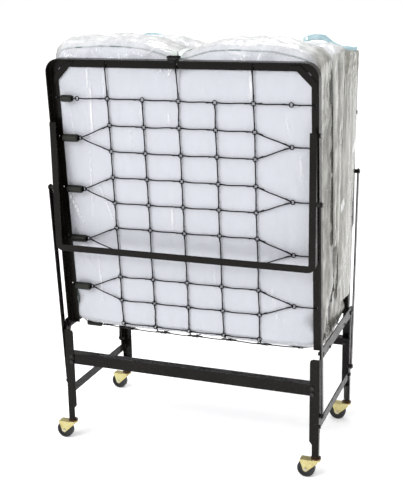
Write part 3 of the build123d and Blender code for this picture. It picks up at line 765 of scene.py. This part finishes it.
# firm corners: the taped edge holds the section square
wq = smooth(60.0, 170.0, s) * (1 - smooth(735.0, 805.0, s))
ax, at = np.clip((np.abs(x) - 287.0) / 82.0, 0, None), np.abs(t - 78.6) / 78.6
n_q = np.where(t < 78.6, 7.0, 4.5)
rr_ = np.hypot(ax, at)
k_q = rr_ / np.maximum((ax ** n_q + at ** n_q) ** (1.0 / n_q), 1e-6)
k_q = np.where((ax > 0) & (rr_ > 0.5), 1 + (k_q - 1) * wq, 1.0)
x = np.where(ax > 0, np.sign(x) * (287.0 + ax * k_q * 82.0), x)
t = np.where(ax > 0, 78.6 + (t - 78.6) * k_q, t)
# and the same at the two top corners, seen from the front
axc, asc = np.clip((np.abs(x) - 290.0) / 79.0, 0, None), np.clip((s - 745.0) / 70.0, 0, None)
rc = np.hypot(axc, asc)
kc = rc / np.maximum((axc ** 4.5 + asc ** 4.5) ** (1.0 / 4.5), 1e-6)
kc = np.where((axc > 0) & (asc > 0) & (rc > 0.5), kc, 1.0)
x = np.where((axc > 0) & (asc > 0), np.sign(x) * (290.0 + axc * kc * 79.0), x)
s = np.where((axc > 0) & (asc > 0), 745.0 + asc * kc * 70.0, s)
front_lim = np.where(s < 745, 0.4, 0.4)
t = np.maximum(t, np.where((s > 8) & (s < 770), front_lim, t))
co = from_deck(x, t, s)
co[:, 1] = np.minimum(co[:, 1], -0.0006)


def net_floor(y, up_by):
    """Height of the slack net under the fold, in metres, with a clearance above the wires."""
    return np.interp(np.abs(y) * 1000.0, [0, 41, 113, 150, 172], [328.6, 329.2, 343.2, 361.0, 378.0]) * MM + up_by


# the fold rests on the slack net: draw the lowest part down onto it
low_w = 1 - smooth(380.0, 470.0, co[:, 2] / MM)
lowest = np.interp(np.abs(co[:, 1]) / MM, np.linspace(0, 172, 24), [min([z for yy, z in zip(np.abs(co[:, 1]) / MM, co[:, 2] / MM) if abs(yy - c) < 5.0] or [360.0]) for c in np.linspace(0, 172, 24)])
co[:, 2] += low_w * (net_floor(co[:, 1], 0.0034) - lowest * MM)
co[:, 2] = np.maximum(co[:, 2], net_floor(co[:, 1], 0.0032))
co[:, 0] = np.clip(co[:, 0], (XS - 369.0) * MM, (XS + 369.0) * MM)
set_co(slab.data, co)
sub = slab.modifiers.new("sub", "SUBSURF")
sub.levels = 1
sub.render_levels = 1
bpy.context.view_layer.update()
apply_mods(slab)
core = get_co(slab.data).copy()


def tri(v):
    """Triangle wave from 0 to 1."""
    f = v - np.floor(v)
    return 1.0 - np.abs(2.0 * f - 1.0)


def folds(p, seed, n, freq, stretch=(1, 1, 1), warp=0.35):
    """Sum of straight-creased ripples in seeded directions, from -1 to 1: what a crinkled sheet looks like."""
    r = np.random.RandomState(seed)
    q = p * np.array(stretch)
    out = np.zeros(len(p))
    for i in range(n):
        d = r.normal(size=3)
        d /= np.linalg.norm(d)
        e = r.normal(size=3)
        e /= np.linalg.norm(e)
        ph, fr = r.rand(), freq * (0.6 + 0.9 * r.rand())
        arg = q @ d * fr + ph + warp * np.sin(q @ e * fr * 1.7 + 6.28 * r.rand())
        out += tri(arg) * 2 - 1
    return out / n ** 0.5


def shape_half(co, edges, crown, seed):
    """Top outline, strap pinch and lumps of one folded half, in front-half coordinates."""
    x, t, s = deck_coords(co)
    edge = np.interp(x, TOP_X, edges)
    cr = np.interp(x, TOP_X, crown)
    w = smooth(430.0, 800.0, s)
    tt = np.clip((t - 0.0) / 158.0, 0, 1)
    bulge = np.sin(np.pi * np.clip(tt, 0, 1)) ** 0.8
    s = s + w * ((edge - 815.0) + cr * bulge)
    lump = folds(np.stack([x, t, s], 1) * MM, seed, 5, 4.0, warp=0.5)
    s = s + w * w * lump * 3.0 * np.clip(bulge, 0, 1)
    # the band draws the top edges in
    pinch = np.exp(-((x + 8.0) / 34.0) ** 2) * smooth(700.0, 815.0, s)
    s = s - pinch * 7.0
    t = t + pinch * 3.0 * (tt < 0.3)
    return x, t, s


halves = {}
for side in ("front", "rear"):
    x, t, s = shape_half(core, TOP_F if side == "front" else TOP_R, CRN_F if side == "front" else CRN_R, 11 if side == "front" else 23)
    c = from_deck(x, t, s)
    o = slab.copy()
    o.data = slab.data.copy()
    o.name = "mattress_ticking_" + side
    scene.collection.objects.link(o)
    halves[side] = (o, c.copy())
    if side == "rear":
        c[:, 1] *= -1
        set_co(o.data, c)
        o.data.flip_normals()
    else:
        set_co(o.data, c)
    o.data.materials.clear()
    o.data.materials.append(M_TICK)
    for p in o.data.polygons:
        p.use_smooth = True
bpy.data.objects.remove(slab)


# ---------------------------------------------------------------- clear bag
def half_normals(o, flip):
    me = o.data
    n = np.zeros(len(me.vertices) * 3)
    me.vertices.foreach_get("normal", n)
    return n.reshape(-1, 3)


# crease lines on the front film: ends (x, s), amplitude and width in mm; each raises a small ridge and paints a white
# highlight along it
CREASE_RIDGES_AND_GLINTS = [((-261, 725), (-267, 558), 0.75, 2.6), ((-277, 529), (-284, 339), 0.45, 3.0), ((-357, 409), (-328, 342), 1.0, 3.2), ((-328, 342), (-312, 310), 0.6, 2.4),
           ((-257, 432), (-216, 318), 0.65, 3.0), ((-217, 753), (-220, 680), 0.9, 2.6), ((-113, 658), (-112, 628), 0.9, 2.6), ((-110, 509), (-109, 476), 0.8, 2.6),
           ((-36, 645), (-34, 612), 0.55, 4.0), ((-39, 386), (-41, 308), 0.6, 3.2), ((196, 761), (198, 684), 0.85, 4.2), ((-268, 757), (-268, 700), 0.8, 2.8),
           ((-24, 759), (-32, 738), 0.9, 2.2), ((-48, 762), (-56, 744), 0.8, 2.2), ((324, 558), (331, 452), 0.35, 3.4), ((-216, 203), (-215, 86), 0.45, 3.0),
           ((77, 230), (80, 148), 0.35, 3.0), ((-278, 219), (-270, 80), 0.5, 3.2), ((239, 179), (262, 63), 0.35, 3.4), ((-330, 650), (-318, 560), 0.4, 3.2),
           ((-345, 300), (-300, 180), 0.45, 3.0), ((100, 420), (104, 350), 0.35, 2.8), ((-150, 590), (-146, 540), 0.35, 2.6), ((288, 640), (300, 590), 0.35, 2.8),
           ((-338, 800), (-322, 778), 0.9, 3.0), ((-70, 812), (-92, 795), 0.7, 3.0), ((120, 806), (205, 790), 0.6, 3.4), ((-180, 800), (-168, 782), 0.5, 5.0)]


def near_line(px, ps, a, b):
    """Distance from points to a segment in the film's (x, s) plane, with a taper towards its ends."""
    a, b = np.array(a, float), np.array(b, float)
    d = b - a
    L = np.hypot(*d)
    u = np.clip(((px - a[0]) * d[0] + (ps - a[1]) * d[1]) / (L * L), 0, 1)
    dist = np.hypot(px - a[0] - u * d[0], ps - a[1] - u * d[1])
    return dist, np.sin(np.pi * np.clip(u * 0.92 + 0.04, 0, 1)) ** 0.5


def bag_half(side):
    src, c = halves[side]
    o = src.copy()
    o.data = src.data.copy()
    o.name = "clear_bag_" + side
    scene.collection.objects.link(o)
    sg = 1 if side == "front" else -1
    n = half_normals(o, False)
    nf = n.copy()
    nf[:, 1] *= sg                       # normal in front-half coordinates
    x, t, s = deck_coords(c)
    nx = nf[:, 0]
    nt = nf[:, 1] * CN + nf[:, 2] * SN
    ns = -nf[:, 1] * SN + nf[:, 2] * CN
    frontness = np.clip(-nt, 0, 1) ** 2
    sideness = np.clip(np.abs(nx), 0, 1) ** 2
    topness = np.clip(ns, 0, 1) ** 2
    inner = np.clip(nt, 0, 1) ** 2
    p = np.stack([x, t, s], 1) * MM
    seed = 3 if side == "front" else 31
    big = folds(p, seed, 6, 7.0, (1, 1, 0.35), 0.5)
    med = folds(p, seed + 1, 7, 17.0, (1, 1, 0.4), 0.45)
    fine = folds(p, seed + 2, 7, 42.0, (1, 1, 0.55), 0.4)
    side_d = 4.5 + 3.6 * big + 2.4 * med + 0.9 * fine
    top_d = 4.0 + 3.0 * big + 2.0 * med + 0.8 * fine
    front_d = 1.3 + 0.45 * med + 0.3 * fine
    inner_d = 2.5 + 1.2 * med + 0.5 * fine
    below = 1.0 - smooth(60.0, 150.0, s)
    d = sideness * np.clip(side_d, 0.8, 12.5) + topness * np.clip(top_d, 1.0, 12.0) + frontness * np.clip(front_d, 0.5, 2.6) + inner * np.clip(inner_d, 0.6, 5.0)
    w = sideness + topness + frontness + inner + np.clip(-ns, 0, 1) ** 2
    d = (d + np.clip(-ns, 0, 1) ** 2 * 1.2) / np.maximum(w, 0.2)
    # above the rail the front of the bag is looser
    d = d + frontness * smooth(770.0, 800.0, s) * np.clip(1.5 + 1.5 * med, 0, 4)
    # painted highlights: white glint lines along the crease ridges
    glint = np.zeros(len(s))
    for ca, cb, amp, wd in (CREASE_RIDGES_AND_GLINTS if side == "front" else [((-c[0][0], c[0][1]), (-c[1][0], c[1][1]), c[2], c[3]) for c in CREASE_RIDGES_AND_GLINTS]):
        dist, tap = near_line(x, s, ca, cb)
        g = np.exp(-(dist / wd) ** 2) * tap * amp
        glint = np.maximum(glint, g * frontness)
        d = d + frontness * g * 0.9
    # painted highlights: glint facets on the gathered sides, and a painted highlight over the whole top
    hi = folds(p, seed + 7, 4, 24.0, (1, 1, 0.45), 0.5)
    where = smooth(0.25, 0.9, folds(p, seed + 9, 3, 5.0, (1, 1, 0.5), 0.6))
    glint = np.maximum(glint, sideness * smooth(1.05, 1.5, hi) * where * 0.9)
    glint = np.maximum(glint, topness * 0.38)
    out = c + nf * (d * MM)[:, None]
    x2, t2, s2 = deck_coords(out)
    t2 = np.where((s2 < 775) & (s2 > 40), np.maximum(t2, -2.4), t2)
    # across the fold line the side film is stretched flat, leaving one narrow crease
    flat = smooth(0.25, 0.75, np.abs(x2) / 80.0 - 3.7) * smooth(110.0, 140.0, t2) * smooth(120.0, 260.0, s2) * (1 - smooth(720.0, 800.0, s2))
    goal = 374.0 + 2.4 * np.clip(med, -1.5, 1.5) + 1.5 * np.clip(fine, -1, 1) - 9.0 * smooth(146.0, 158.0, t2)
    x2 = np.where(np.abs(x2) > 320, x2 + (np.sign(x2) * goal - x2) * flat, x2)
    out = from_deck(x2, t2, s2)
    out[:, 1] = np.minimum(out[:, 1], -0.0004)
    out[:, 0] = np.clip(out[:, 0], (XS - 379.5) * MM, (XS + 383.0) * MM)
    out[:, 2] = np.maximum(out[:, 2], net_floor(out[:, 1], 0.0021))
    # cover_and_shade: more opaque where the film gathers, and high on side-facing film so its colour turns the darker
    # grey, painted shade
    cover_and_shade = 0.10 * frontness + 0.80 * sideness + 0.42 * topness + 0.30 * inner + 0.15 * np.clip(-ns, 0, 1)
    cover_and_shade = cover_and_shade / np.maximum(w, 0.2)
    cover_and_shade = cover_and_shade + 0.10 * sideness * np.clip(med, -1, 1) + 0.05 * frontness * smooth(760, 800, s)
    cover_and_shade = np.clip(cover_and_shade, 0.05, 0.95)
    if side == "rear":
        out = out.copy()
        out[:, 1] *= -1
    set_co(o.data, out)
    a = o.data.attributes.new("cover_and_shade", "FLOAT", "POINT")
    a.data.foreach_set("value", cover_and_shade.astype(np.float32))
    a = o.data.attributes.new("glint", "FLOAT", "POINT")
    a.data.foreach_set("value", np.clip(glint, 0, 1).astype(np.float32))
    o.data.materials.clear()
    o.data.materials.append(M_FILM)
    # open the bag where the two halves face each other low down
    bm = bmesh.new()
    bm.from_mesh(o.data)
    gone = [f for f in bm.faces if abs(f.calc_center_median().y) < 0.0045 and f.calc_center_median().z < 0.53]
    bmesh.ops.delete(bm, geom=gone, context="FACES")
    loose = [v for v in bm.verts if not v.link_faces]
    bmesh.ops.delete(bm, geom=loose, context="VERTS")
    bm.to_mesh(o.data)
    bm.free()
    return o


bags = {side: bag_half(side) for side in ("front", "rear")}

# taped edges of the mattress, seen through the film
for side in ("front", "rear"):
    src, c = halves[side]
    me = src.data
    bm = bmesh.new()
    bm.from_mesh(me)
    bvh = BVHTree.FromBMesh(bm)
    sgn = 1 if side == "front" else -1
    tape = Mesh()
    for t_at, s_lo in ((3.0, 60.0), (151.0, 190.0)):
        path = []
        edges = TOP_F if side == "front" else TOP_R
        top = lambda xx: float(np.interp(xx, TOP_X, edges)) - 3.0
        for f in np.linspace(s_lo, 770.0, 40):
            path.append((-366.0, f))
        for a in np.linspace(0, math.pi / 2, 8)[1:]:
            path.append((-340.0 - 26.0 * math.cos(a), 770.0 + (top(-335.0) - 770.0) * math.sin(a)))
        for xx in np.linspace(-330.0, 330.0, 70):
            path.append((xx, top(xx)))
        for a in np.linspace(math.pi / 2, 0, 8)[1:]:
            path.append((340.0 + 26.0 * math.cos(a), 760.0 + (top(335.0) - 760.0) * math.sin(a)))
        for f in np.linspace(755.0, s_lo, 40):
            path.append((366.0, f))
        pts = []
        for px, ps in path:
            q = dk(px, t_at, ps)
            q.y *= sgn
            loc, nor, idx, dist = bvh.find_nearest(q)
            pts.append(loc + nor * (0.5 * MM))
        for _ in range(3):
            pts = [pts[0]] + [(pts[i - 1] + pts[i] * 2 + pts[i + 1]) / 4 for i in range(1, len(pts) - 1)] + [pts[-1]]
        tape.tube(pts, 2.1 * MM, seg=7)
    bm.free()
    o = tape.obj("mattress_tape_" + side, M_TAPE)
    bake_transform(o)
for side in ("front", "rear"):
    o, c = halves[side]
    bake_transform(o)
    if side == "front":
        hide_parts("mattress_front_half", "mattress_fold")
    else:
        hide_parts("mattress_rear_half")
    b = bags[side]
    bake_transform(b)

# ---------------------------------------------------------------- welded seam flap of the bag, at the rear top right
def ribbon(name, centre, width_vec, th, mat, wob=0.0, seed=0):
    """Thin strip along a path, with rows across it and a slightly wavy free edge."""
    r = np.random.RandomState(seed)
    m = Mesh()
    n, k = len(centre), 6
    ph = r.rand(4) * 6.28
    for layer in (0, 1):
        for i, c in enumerate(centre):
            wv = Vector(width_vec[i] if isinstance(width_vec, list) else width_vec)
            a = centre[max(i - 1, 0)]
            b = centre[min(i + 1, n - 1)]
            tg = (Vector(b) - Vector(a)).normalized()
            nn = tg.cross(wv).normalized()
            for j in range(k + 1):
                f = j / k
                off = wob * math.sin(i * 0.9 + ph[0] + 2.0 * f) * (0.3 + f) + wob * 0.6 * math.sin(i * 0.37 + ph[1]) * f
                m.v.append(Vector(c) + wv * (f - 0.0) + nn * (off + (th / 2 if layer else -th / 2)))
    st = n * (k + 1)
    for layer in (0, 1):
        for i in range(n - 1):
            for j in range(k):
                q = [layer * st + i * (k + 1) + j, layer * st + i * (k + 1) + j + 1, layer * st + (i + 1) * (k + 1) + j + 1, layer * st + (i + 1) * (k + 1) + j]
                m.f.append(tuple(q if layer else q[::-1]))
    for i in range(n - 1):
        for j, e in ((0, 0), (k, 1)):
            a, b = i * (k + 1) + j, (i + 1) * (k + 1) + j
            m.f.append((a, b, b + st, a + st) if e else (b, a, a + st, b + st))
    for i, e in ((0, 0), (n - 1, 1)):
        for j in range(k):
            a, b = i * (k + 1) + j, i * (k + 1) + j + 1
            m.f.append((b, a, a + st, b + st) if e else (a, b, b + st, a + st))
    return m.obj(name, mat)


def smooth_path(pts, n):
    """Catmull-Rom through a few points, n samples."""
    p = [Vector(q) for q in pts]
    p = [p[0] * 2 - p[1]] + p + [p[-1] * 2 - p[-2]]
    out = []
    segs = len(p) - 3
    for i in range(n):
        u = i / (n - 1) * segs
        k = min(int(u), segs - 1)
        f = u - k
        a, b, c, d = p[k:k + 4]
        out.append(0.5 * ((2 * b) + (c - a) * f + (2 * a - 5 * b + 4 * c - d) * f * f + (3 * b - a - 3 * c + d) * f ** 3))
    return out


seam_pts = [bp(x, y, z) for x, y, z in ((240, 140, 1158), (252, 142, 1164), (268, 144, 1169), (287, 145, 1169), (304, 147, 1166), (319, 148, 1155), (333, 149, 1146), (352, 150, 1141), (374, 150, 1138), (392, 150, 1137))]
flap = ribbon("bag_seam_flap", smooth_path(seam_pts, 40), [Vector((0.0, 0.004, 0.0165)) if i < 18 else Vector((0.001, 0.004, 0.014)) for i in range(40)], 0.9 * MM, M_SEAM, 0.8 * MM, 5)
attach(flap, "rear_deck")
left_pts = [bp(x, y, z) for x, y, z in ((-262, 118, 1168), (-240, 121, 1174), (-215, 122, 1177), (-190, 120, 1175), (-172, 117, 1169))]
flap2 = ribbon("bag_seam_flap_left", smooth_path(left_pts, 20), [Vector((0.0, 0.005, 0.011)) for i in range(20)], 0.9 * MM, M_SEAM, 0.8 * MM, 9)
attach(flap2, "rear_deck")


def loose_panel():
    """The bag's slack at the rear right: it hangs from the seam, outside the rear rail and clear of the link bar."""
    ns, nv = 190, 60
    S = np.linspace(66.0, 780.0, ns)
    V = np.linspace(0.0, 1.0, nv)
    ss, vv = np.meshgrid(S, V, indexing="ij")
    ss, vv = ss.ravel(), vv.ravel()
    t_free = 1.0 + 3.0 * np.sin(ss * 0.021) + 5.0 * smooth(640.0, 760.0, ss) + 4.0 * smooth(400.0, 200.0, ss)
    t = t_free + (128.0 - t_free) * vv
    q = np.stack([np.zeros(len(t)), t, ss], 1) * MM
    base = np.interp(t, [-30, -22, -10, 6, 40, 80, 110, 130], [382.6, 383.3, 384.6, 385.2, 385.0, 383.2, 380.0, 374.0])
    crk = 0.9 * folds(q, 51, 6, 9.0, (1, 1, 0.35), 0.5) + 0.8 * folds(q, 52, 7, 24.0, (1, 1, 0.45), 0.4) + 0.35 * folds(q, 53, 6, 60.0, (1, 1, 0.6), 0.4)
    puff = smooth(640.0, 780.0, ss)
    xx = base + np.clip(crk, -1.6, 1.6) + puff * (2.0 + 2.4 * np.clip(crk, -1.5, 1.8))
    lo = np.where(t < 3.0, 382.2, 378.0)
    lo = np.where(t > 118, 371.0, lo)
    xx = np.clip(xx, lo, np.where(ss > 470, 394.0, 386.6))
    # over the deck's rounded corner the lean in to the seam is scaled to zero, so the film keeps its line
    top = smooth(735.0, 792.0, ss)
    s2 = ss + top * 0.0
    co = from_deck(xx, t, s2)
    co[:, 1] *= -1
    faces = []
    for i in range(ns - 1):
        for j in range(nv - 1):
            a0 = i * nv + j
            faces.append((a0, a0 + 1, a0 + nv + 1, a0 + nv))
    me = bpy.data.meshes.new("clear_bag_loose_side")
    me.from_pydata([tuple(c) for c in co], [], faces)
    o = bpy.data.objects.new("clear_bag_loose_side", me)
    scene.collection.objects.link(o)
    # cover_and_shade near full: opaque gathered film in its darker grey, painted shade on this side-facing panel
    a = me.attributes.new("cover_and_shade", "FLOAT", "POINT")
    edge = np.clip(np.minimum(vv, 1 - vv) * 8, 0, 1)
    a.data.foreach_set("value", (0.92 + 0.08 * np.clip(crk, -1, 1)).astype(np.float32))
    # painted highlights: glint on the crinkle facets
    hi = folds(q, 57, 4, 24.0, (1, 1, 0.45), 0.5)
    wh_ = smooth(0.3, 0.9, folds(q, 59, 3, 6.0, (1, 1, 0.5), 0.6))
    g = me.attributes.new("glint", "FLOAT", "POINT")
    g.data.foreach_set("value", np.clip(smooth(0.75, 1.2, hi) * wh_, 0, 1).astype(np.float32))
    for p in me.polygons:
        p.use_smooth = True
    me.materials.append(M_FILM)
    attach(o, "rear_deck")
    return o


loose = loose_panel()


def gusset_panel(sgn, name):
    """The bag spans the opening between the two halves: one crinkled side panel, fixed along the front half."""
    ns, nv = 130, 34
    ss, vv = np.meshgrid(np.linspace(250.0, 782.0, ns), np.linspace(0.0, 1.0, nv), indexing="ij")
    ss, vv = ss.ravel(), vv.ravel()
    edge_in = np.array([abs(dk(0, 146.0, q).y) / MM for q in np.linspace(250.0, 782.0, ns)])
    zz = np.array([dk(0, 146.0, q).z / MM for q in np.linspace(250.0, 782.0, ns)])
    y0 = np.repeat(edge_in, nv) + 7.0
    z = np.repeat(zz, nv)
    y = (vv * 2 - 1) * y0
    q = np.stack([np.zeros(len(y)), y, z], 1) * MM
    crk = 0.9 * folds(q, 71, 6, 11.0, (1, 1, 0.6), 0.5) + 0.7 * folds(q, 72, 7, 30.0, (1, 1, 0.6), 0.4)
    bow = 1 - np.abs(vv * 2 - 1) ** 6
    x = 377.0 + 3.4 * bow + 1.4 * np.clip(crk, -1.5, 1.5) * (0.3 + 0.7 * bow) - 3.0 * np.exp(-((vv - 0.45) / 0.07) ** 2)
    z = z - 5.0 * np.sin(np.pi * vv) * smooth(700.0, 782.0, ss)
    co = np.stack([(XS + sgn * x) * MM, y * MM, z * MM], 1)
    faces = [(i * nv + j, i * nv + j + 1, (i + 1) * nv + j + 1, (i + 1) * nv + j) for i in range(ns - 1) for j in range(nv - 1)]
    me = bpy.data.meshes.new(name)
    me.from_pydata([tuple(c) for c in co], [], faces)
    o = bpy.data.objects.new(name, me)
    scene.collection.objects.link(o)
    # cover_and_shade high: gathered film in its darker grey, painted shade on this side-facing panel
    a = me.attributes.new("cover_and_shade", "FLOAT", "POINT")
    a.data.foreach_set("value", (0.78 + 0.12 * np.clip(crk, -1, 1)).astype(np.float32))
    # painted highlights: glint on the crinkle facets
    hi = folds(q, 77, 4, 24.0, (1, 1, 0.6), 0.5)
    wh_ = smooth(0.3, 0.9, folds(q, 79, 3, 6.0, (1, 1, 0.6), 0.6))
    g = me.attributes.new("glint", "FLOAT", "POINT")
    g.data.foreach_set("value", np.clip(smooth(0.7, 1.15, hi) * wh_, 0, 1).astype(np.float32))
    for p in me.polygons:
        p.use_smooth = True
    me.materials.append(M_FILM)
    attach(o, "front_deck")
    return o


gussets = [gusset_panel(1, "clear_bag_gusset_right"), gusset_panel(-1, "clear_bag_gusset_left")]

# ---------------------------------------------------------------- retaining strap
def strap_half(side):
    src, c = halves[side]
    bm = bmesh.new()
    bm.from_mesh(src.data)
    bvh = BVHTree.FromBMesh(bm)
    sg = 1 if side == "front" else -1
    raw = [dk(-8, -9.0, 791.8), dk(-8, -4.5, 793.2)]
    raw += [dk(-8, t, 0) for t in ()]
    for t_at in (6.0, 20.0, 40.0, 65.0, 90.0, 115.0, 135.0, 150.0):
        q = dk(-8, t_at, 900.0)
        q.y *= sg
        hit = bvh.ray_cast(q, Vector((0, 0, -1)))
        z = hit[0].z if hit[0] is not None else dk(-8, t_at, 805.0).z
        v = dk(-8, t_at, 900.0)
        raw.append(Vector((v.x, v.y, z + 0.006)))
    bm.free()
    zend = raw[-1].z
    raw.append(Vector((raw[0].x, -0.035, zend + 0.0005)))
    raw.append(Vector((raw[0].x, -0.0006, zend + 0.0)))
    path = smooth_path(raw, 60)
    for _ in range(6):
        path = [path[0]] + [(path[i - 1] + path[i] * 2 + path[i + 1]) / 4 for i in range(1, len(path) - 1)] + [path[-1]]
    path = [Vector((p.x - 0.009, p.y, p.z)) for p in path]
    m = ribbon("strap_band_" + side, path, Vector((0.018, 0, 0)), 1.4 * MM, M_STRAP)
    if side == "rear":
        co = get_co(m.data)
        co[:, 1] *= -1
        set_co(m.data, co)
        m.data.flip_normals()
    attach(m, side + "_deck"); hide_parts("retaining_strap_" + side)
    return m


straps = {side: strap_half(side) for side in ("front", "rear")}


def hook_half(side):
    """Small moulded hook on the end rail: a short lip in front, a plate on the rail, and an eye bar for the band."""
    prof = [(-28.2, 779.8, 13.0), (-28.3, 783.0, 16.0), (-28.0, 786.0, 20.0), (-26.0, 787.9, 24.0), (-22.0, 788.3, 27.0), (-17.0, 788.0, 30.0), (-13.0, 788.6, 33.0),
            (-10.0, 790.6, 34.0), (-7.0, 792.2, 34.0), (-4.4, 791.4, 32.0)]
    pts, wid = [], []
    for i in range(len(prof) - 1):
        for f in (0.0, 0.34, 0.67):
            a, b = prof[i], prof[i + 1]
            pts.append(dk(-8.0 - (a[2] + (b[2] - a[2]) * f) / 2, a[0] + (b[0] - a[0]) * f, a[1] + (b[1] - a[1]) * f))
            wid.append(Vector(((a[2] + (b[2] - a[2]) * f) * MM, 0, 0)))
    o = ribbon("strap_hook_moulded_" + side, pts, wid, 2.2 * MM, M_HOOK)
    bm = bmesh.new()
    bm.from_mesh(o.data)
    extra = Mesh()
    extra.tube([dk(-26.0, -8.6, 793.4), dk(-20.0, -8.8, 794.4), dk(-8.0, -8.6, 794.0), dk(5.0, -8.8, 794.5), dk(10.5, -8.6, 793.2)], [1.3 * MM, 1.7 * MM, 1.6 * MM, 1.7 * MM, 1.3 * MM], seg=9)
    extra.tube([dk(-26.0, -8.6, 793.6), dk(-26.5, -11.0, 791.5), dk(-25.5, -13.0, 789.5)], 1.4 * MM, seg=8)
    extra.tube([dk(10.5, -8.6, 793.4), dk(11.0, -11.0, 791.5), dk(9.5, -13.0, 789.5)], 1.4 * MM, seg=8)
    e = extra.obj("tmp_hook_eye", M_HOOK)
    bm.from_mesh(e.data)
    bm.to_mesh(o.data)
    bm.free()
    bpy.data.objects.remove(e)
    if side == "rear":
        co = get_co(o.data)
        co[:, 1] *= -1
        set_co(o.data, co)
        o.data.flip_normals()
    for p in o.data.polygons:
        p.use_smooth = False
    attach(o, side + "_deck"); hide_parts("strap_hook_" + side)
    return o


hooks = {side: hook_half(side) for side in ("front", "rear")}

# ---------------------------------------------------------------- stage, light, camera
def floor_mat():
    m, nt, bs = new_mat("studio_floor")
    col = ramp(nt, noise(nt, coords(nt), 1.5, 3.0), [(0.3, (0.93, 0.93, 0.93)), (0.7, (0.95, 0.95, 0.95))])
    nt.links.new(col, bs.inputs["Base Color"])
    bs.inputs["Roughness"].default_value = 0.9
    bs.inputs["Specular IOR Level"].default_value = 0.1
    bs.inputs["Emission Color"].default_value = (1.0, 1.0, 1.0, 1)
    bs.inputs["Emission Strength"].default_value = 0.26
    return m


me = bpy.data.meshes.new("studio_floor")
me.from_pydata([(-30, -30, -0.0006), (30, -30, -0.0006), (30, 30, -0.0006), (-30, 30, -0.0006)], [], [(0, 1, 2, 3)])
floor = bpy.data.objects.new("studio_floor", me)
scene.collection.objects.link(floor)
me.materials.append(floor_mat())

world = bpy.data.worlds.new("studio_world")
scene.world = world
world.use_nodes = True
wn = world.node_tree
bg = wn.nodes["Background"]
bg.inputs["Color"].default_value = (1.0, 1.0, 1.0, 1)
lp = wn.nodes.new("ShaderNodeLightPath")
st_ = wn.nodes.new("ShaderNodeMapRange")
st_.inputs[3].default_value = 0.56
st_.inputs[4].default_value = 1.0
wn.links.new(lp.outputs["Is Camera Ray"], st_.inputs[0])
wn.links.new(st_.outputs[0], bg.inputs["Strength"])


def area(name, loc, target, size, power, size_y=None, color=(1, 1, 1)):
    d = bpy.data.lights.new(name, "AREA")
    d.energy = power
    d.color = color
    d.size = size
    if size_y:
        d.shape = "RECTANGLE"
        d.size_y = size_y
    o = bpy.data.objects.new(name, d)
    scene.collection.objects.link(o)
    o.location = loc
    o.rotation_euler = (Vector(target) - Vector(loc)).to_track_quat("-Z", "Y").to_euler()
    return o


sun_d = bpy.data.lights.new("soft_sun", "SUN")
sun_d.energy = 2.1
sun_d.angle = math.radians(50)
sun = bpy.data.objects.new("soft_sun", sun_d)
scene.collection.objects.link(sun)
sun.visible_glossy = False
sun.rotation_euler = Vector((0.36, 0.60, -0.72)).to_track_quat("-Z", "Y").to_euler()
area("key_light", (-1.5, -3.2, 2.3), (0, -0.1, 0.8), 0.7, 22.0)
area("top_light", (0.1, 0.5, 2.9), (0, 0.05, 1.1), 1.2, 26.0)
area("side_strip", (2.9, -1.3, 1.9), (0.3, 0, 0.8), 0.25, 7.0, 1.4)

cam_d = bpy.data.cameras.new("camera")
cam = bpy.data.objects.new("camera", cam_d)
scene.collection.objects.link(cam)
az, el, roll = math.radians(20.8), math.radians(14.4), math.radians(-1.0)
fw = Vector((-math.sin(az) * math.cos(el), math.cos(az) * math.cos(el), -math.sin(el)))
rt = Vector((math.cos(az), math.sin(az), 0.0))
up = rt.cross(fw)
r2 = rt * math.cos(roll) + up * math.sin(roll)
u2 = up * math.cos(roll) - rt * math.sin(roll)
from mathutils import Matrix
mw = Matrix(((r2.x, u2.x, -fw.x, 0.9866), (r2.y, u2.y, -fw.y, -2.593), (r2.z, u2.z, -fw.z, 1.366), (0, 0, 0, 1)))
cam.matrix_world = mw
cam_d.sensor_fit = "VERTICAL"
cam_d.sensor_height = 36.0
cam_d.sensor_width = 36.0
cam_d.lens = 981.4 * 36.0 / 500.0
cam_d.shift_x = -(204.1 - 201.5) / 500.0
cam_d.shift_y = (221.8 - 250.0) / 500.0
cam_d.clip_end = 100.0
scene.camera = cam
scene.view_settings.view_transform = "Standard"
scene.view_settings.look = "None"
